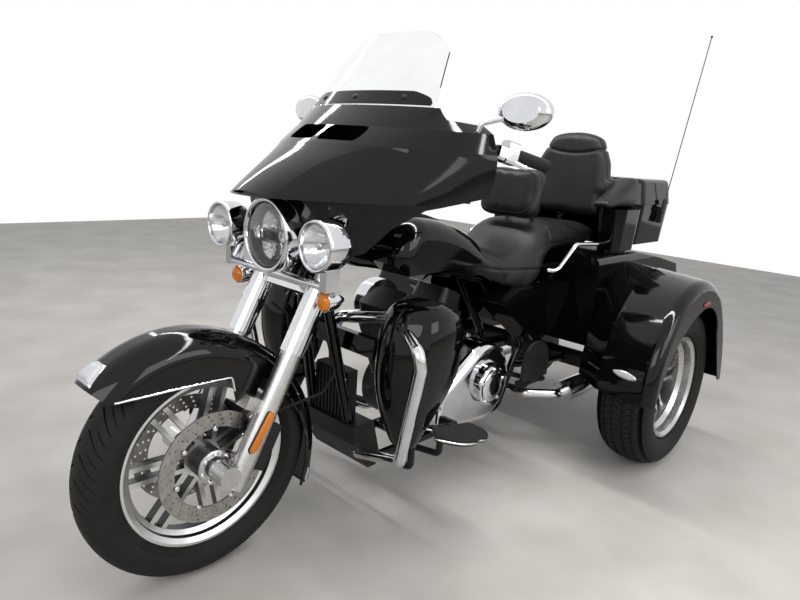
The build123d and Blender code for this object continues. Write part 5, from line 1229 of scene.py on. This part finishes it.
def pad_on(name, centre, along, across, outline, height, material, rings=5):
    """A domed pad of any outline, standing out from a plane."""
    along, across = along.normalized(), across.normalized()
    out = along.cross(across).normalized()
    raised = bmesh.new()
    loops = []
    for ring in range(rings):
        narrow, rise = polar(1, math.pi / 2 * ring / rings)
        share = 0.72 + 0.28 * narrow
        spots = [centre + along * (x * share) + across * (y * share) for x, y in outline]
        loops.append([raised.verts.new(spot + out * (height * rise)) for spot in spots])
    bridge(raised, loops)
    close_ends(raised, loops)
    return finished(name, raised, material, 45)


along = REFLECTOR_HIGH - REFLECTOR_LOW
reflector_parts = []
for hand in (1, -1):
    foot = (REFLECTOR_HIGH + REFLECTOR_LOW) / 2 + Vector((hand * REFLECTOR_OUT, 0, 0))
    lens = foot + Vector((hand * 0.0035, 0, 0))
    across = Vector((hand, 0, 0)).cross(along)
    foot_outline = bar_outline(along.length, FOOT_HALF_WIDTH)
    lens_outline = bar_outline(along.length - 0.006, REFLECTOR_HALF_WIDTH)
    reflector_parts.append(pad_on("foot", foot, along, across, foot_outline, 0.004, black_plastic))
    reflector_parts.append(pad_on("lens", lens, along, across, lens_outline, 0.007, amber_lens))
reflectors = join_pieces("fork_reflectors", reflector_parts)
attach(reflectors, "front_end")

# Rear fender markers: a pale oval reflector on the front of each fender, and a red one on each side.
# Each sits in a thin rim, chromed in front and black at the side.
REFLECTOR_ACROSS, REFLECTOR_HEIGHT = 0.575, 0.440
MARKER_ALONG = FRONT_AXLE.y + 1.649
MARKER_LOWEST, MARKER_STEP = 0.643, 0.004
REFLECTOR_LAYERS = ((0.100, 0.026, 0.0008, chrome), (0.090, 0.018, 0.0030, pale_lens))
MARKER_LAYERS = ((0.078, 0.022, 0.0006, black_plastic), (0.070, 0.015, 0.0022, red_lens))
rear_surface = surface_of(nodes["rear_fenders"])
marker_height = MARKER_LOWEST


def fender_side(height):
    """The point of the left rear fender's side at a height, where it reaches down that far."""
    return rear_surface.ray_cast(Vector((0.9, MARKER_ALONG, height)), Vector((-1, 0, 0)), 0.26)[0]


while fender_side(marker_height - 0.014) is None:
    marker_height += MARKER_STEP


def oval(u, v, long, tall):
    """A place in an oval, along and up from its middle."""
    return (v - 0.5) * long * math.sqrt(max(0.02, 1 - (2 * u - 1) ** 2)), (u - 0.5) * tall


marker_parts = []
for hand in (1, -1):
    def front_ray(u, v, long, tall, hand=hand):
        along, up = oval(u, v, long, tall)
        return (hand * (REFLECTOR_ACROSS + along), FRONT_AXLE.y + 0.9, REFLECTOR_HEIGHT + up), (0, 1, 0)

    def side_marker_ray(u, v, long, tall, hand=hand):
        along, up = oval(u, v, long, tall)
        return (hand * 0.9, MARKER_ALONG + along, marker_height + up), (-hand, 0, 0)

    for long, tall, lift, finish in REFLECTOR_LAYERS:
        marker_parts.append(patch(
            "front_reflector", rear_surface,
            lambda u, v: front_ray(u, v, long, tall),
            lambda u, v: lift + pillow(u, v, 0.003, 0.2), 14, 30, finish,
        ))
    for long, tall, lift, finish in MARKER_LAYERS:
        marker_parts.append(patch(
            "side_marker", rear_surface,
            lambda u, v: side_marker_ray(u, v, long, tall),
            lambda u, v: lift + pillow(u, v, 0.002, 0.2), 12, 26, finish,
        ))
markers = join_pieces("fender_markers", marker_parts)
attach(markers, "chassis")

# Footboard rims: a bright bar round the rubber top of each of the rider's boards.
# The rim follows the outline of the board itself, and folds with it.
BOARD_LEAN = math.radians(10.8)
BOARD_RIM_RADIUS = 0.0036
board_along = Vector((0, math.cos(BOARD_LEAN), -math.sin(BOARD_LEAN)))
for side in ("left", "right"):
    middle = box_centre(f"footboard_{side}")
    board_surface = surface_of(nodes[f"footboard_{side}"])
    rim_route = []
    for k in range(72):
        turn = 2 * math.pi * k / 72
        way = Vector((math.cos(turn), 0, 0)) + board_along * math.sin(turn)
        hit = board_surface.ray_cast(middle + way * 0.3, -way, 0.3)[0]
        if hit is not None:
            rim_route.append(hit - way * 0.0005)
    rim = tube(f"board_rim_{side}", rim_route, BOARD_RIM_RADIUS, chrome, closed=True)
    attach(rim, f"footboard_{side}")

# Clutch cover: a round chromed cover on the outer face of the primary case.
# Five screws hold it, evenly round its flat rim.
CLUTCH_CENTRE = (FRONT_AXLE.y + 0.985, 0.365)
CLUTCH_SCREWS = 5
SCREW_CIRCLE = 0.061
CLUTCH_COVER = [
    (0, 0), (0, 0.070), (0.004, 0.070), (0.007, 0.066),
    (0.007, 0.056), (0.010, 0.052), (0.012, 0.030), (0.012, 0),
]
SCREW_HEAD = [
    (0, 0), (0, 0.0065), (0.003, 0.0065), (0.0045, 0.0050), (0.0045, 0.0028), (0.0028, 0.0026), (0.0028, 0)
]
primary_surface = surface_of(nodes["primary_cover"])
case_face = primary_surface.ray_cast(Vector((0.6, *CLUTCH_CENTRE)), Vector((-1, 0, 0)))[0].x
case_parts = [lathe("clutch_cover", (case_face - 0.0005, *CLUTCH_CENTRE), (1, 0, 0), CLUTCH_COVER, chrome)]
for k in range(CLUTCH_SCREWS):
    along, up = polar(SCREW_CIRCLE, 2 * math.pi * (k + 0.25) / CLUTCH_SCREWS)
    spot = (case_face + 0.0065, CLUTCH_CENTRE[0] + along, CLUTCH_CENTRE[1] + up)
    case_parts.append(lathe("cover_screw", spot, (1, 0, 0), SCREW_HEAD, chrome, steps=16))
clutch_trim = join_pieces("clutch_cover", case_parts)
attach(clutch_trim, "chassis")

# The finish of every CAD piece, whether it shows or a scene piece stands for it.
# The pieces are listed by what they are made of.
NODE_FINISHES = (
    (gloss_black, (
        "front_fender", "fairing_shell", "frame", "fuel_tank", "tank_console", "trunk_body", "trunk_door",
        "rear_fenders", "lower_fairings", "luggage_box", "luggage_lid", "speaker_pods", "side_covers",
    )),
    (chrome, (
        "fork_tubes", "fork_clamps", "headlamp", "passing_lamps", "lamp_bar", "hand_levers", "mirrors",
        "primary_cover", "air_cleaner", "exhaust", "engine_guard", "grab_rails",
    )),
    (satin_alloy, ("rear_rim_left", "rear_rim_right", "fork_sliders")),
    (two_tone, ("front_rim",)),
    (stainless, ("front_discs",)),
    (engine_black, (
        "brake_calipers", "handlebar", "engine_cases", "cylinders", "backrest_post", "rear_axle",
        "board_brackets",
    )),
    (black_plastic, (
        "fairing_dash", "oil_cooler", "antenna", "passenger_board_left", "passenger_board_right",
    )),
    (rubber, (
        "front_tyre", "rear_tyre_left", "rear_tyre_right", "brake_hoses", "grips", "footboard_left",
        "footboard_right",
    )),
    (leather, ("seat", "rider_backrest", "passenger_backrest")),
    (amber_lens, ("turn_signals",)),
    (red_lens, ("tail_lamps",)),
    (clear_screen, ("windshield",)),
)
for finish, node_names in NODE_FINISHES:
    for node_name in node_names:
        node = nodes[node_name]
        node.data.materials.clear()
        node.data.materials.append(finish)
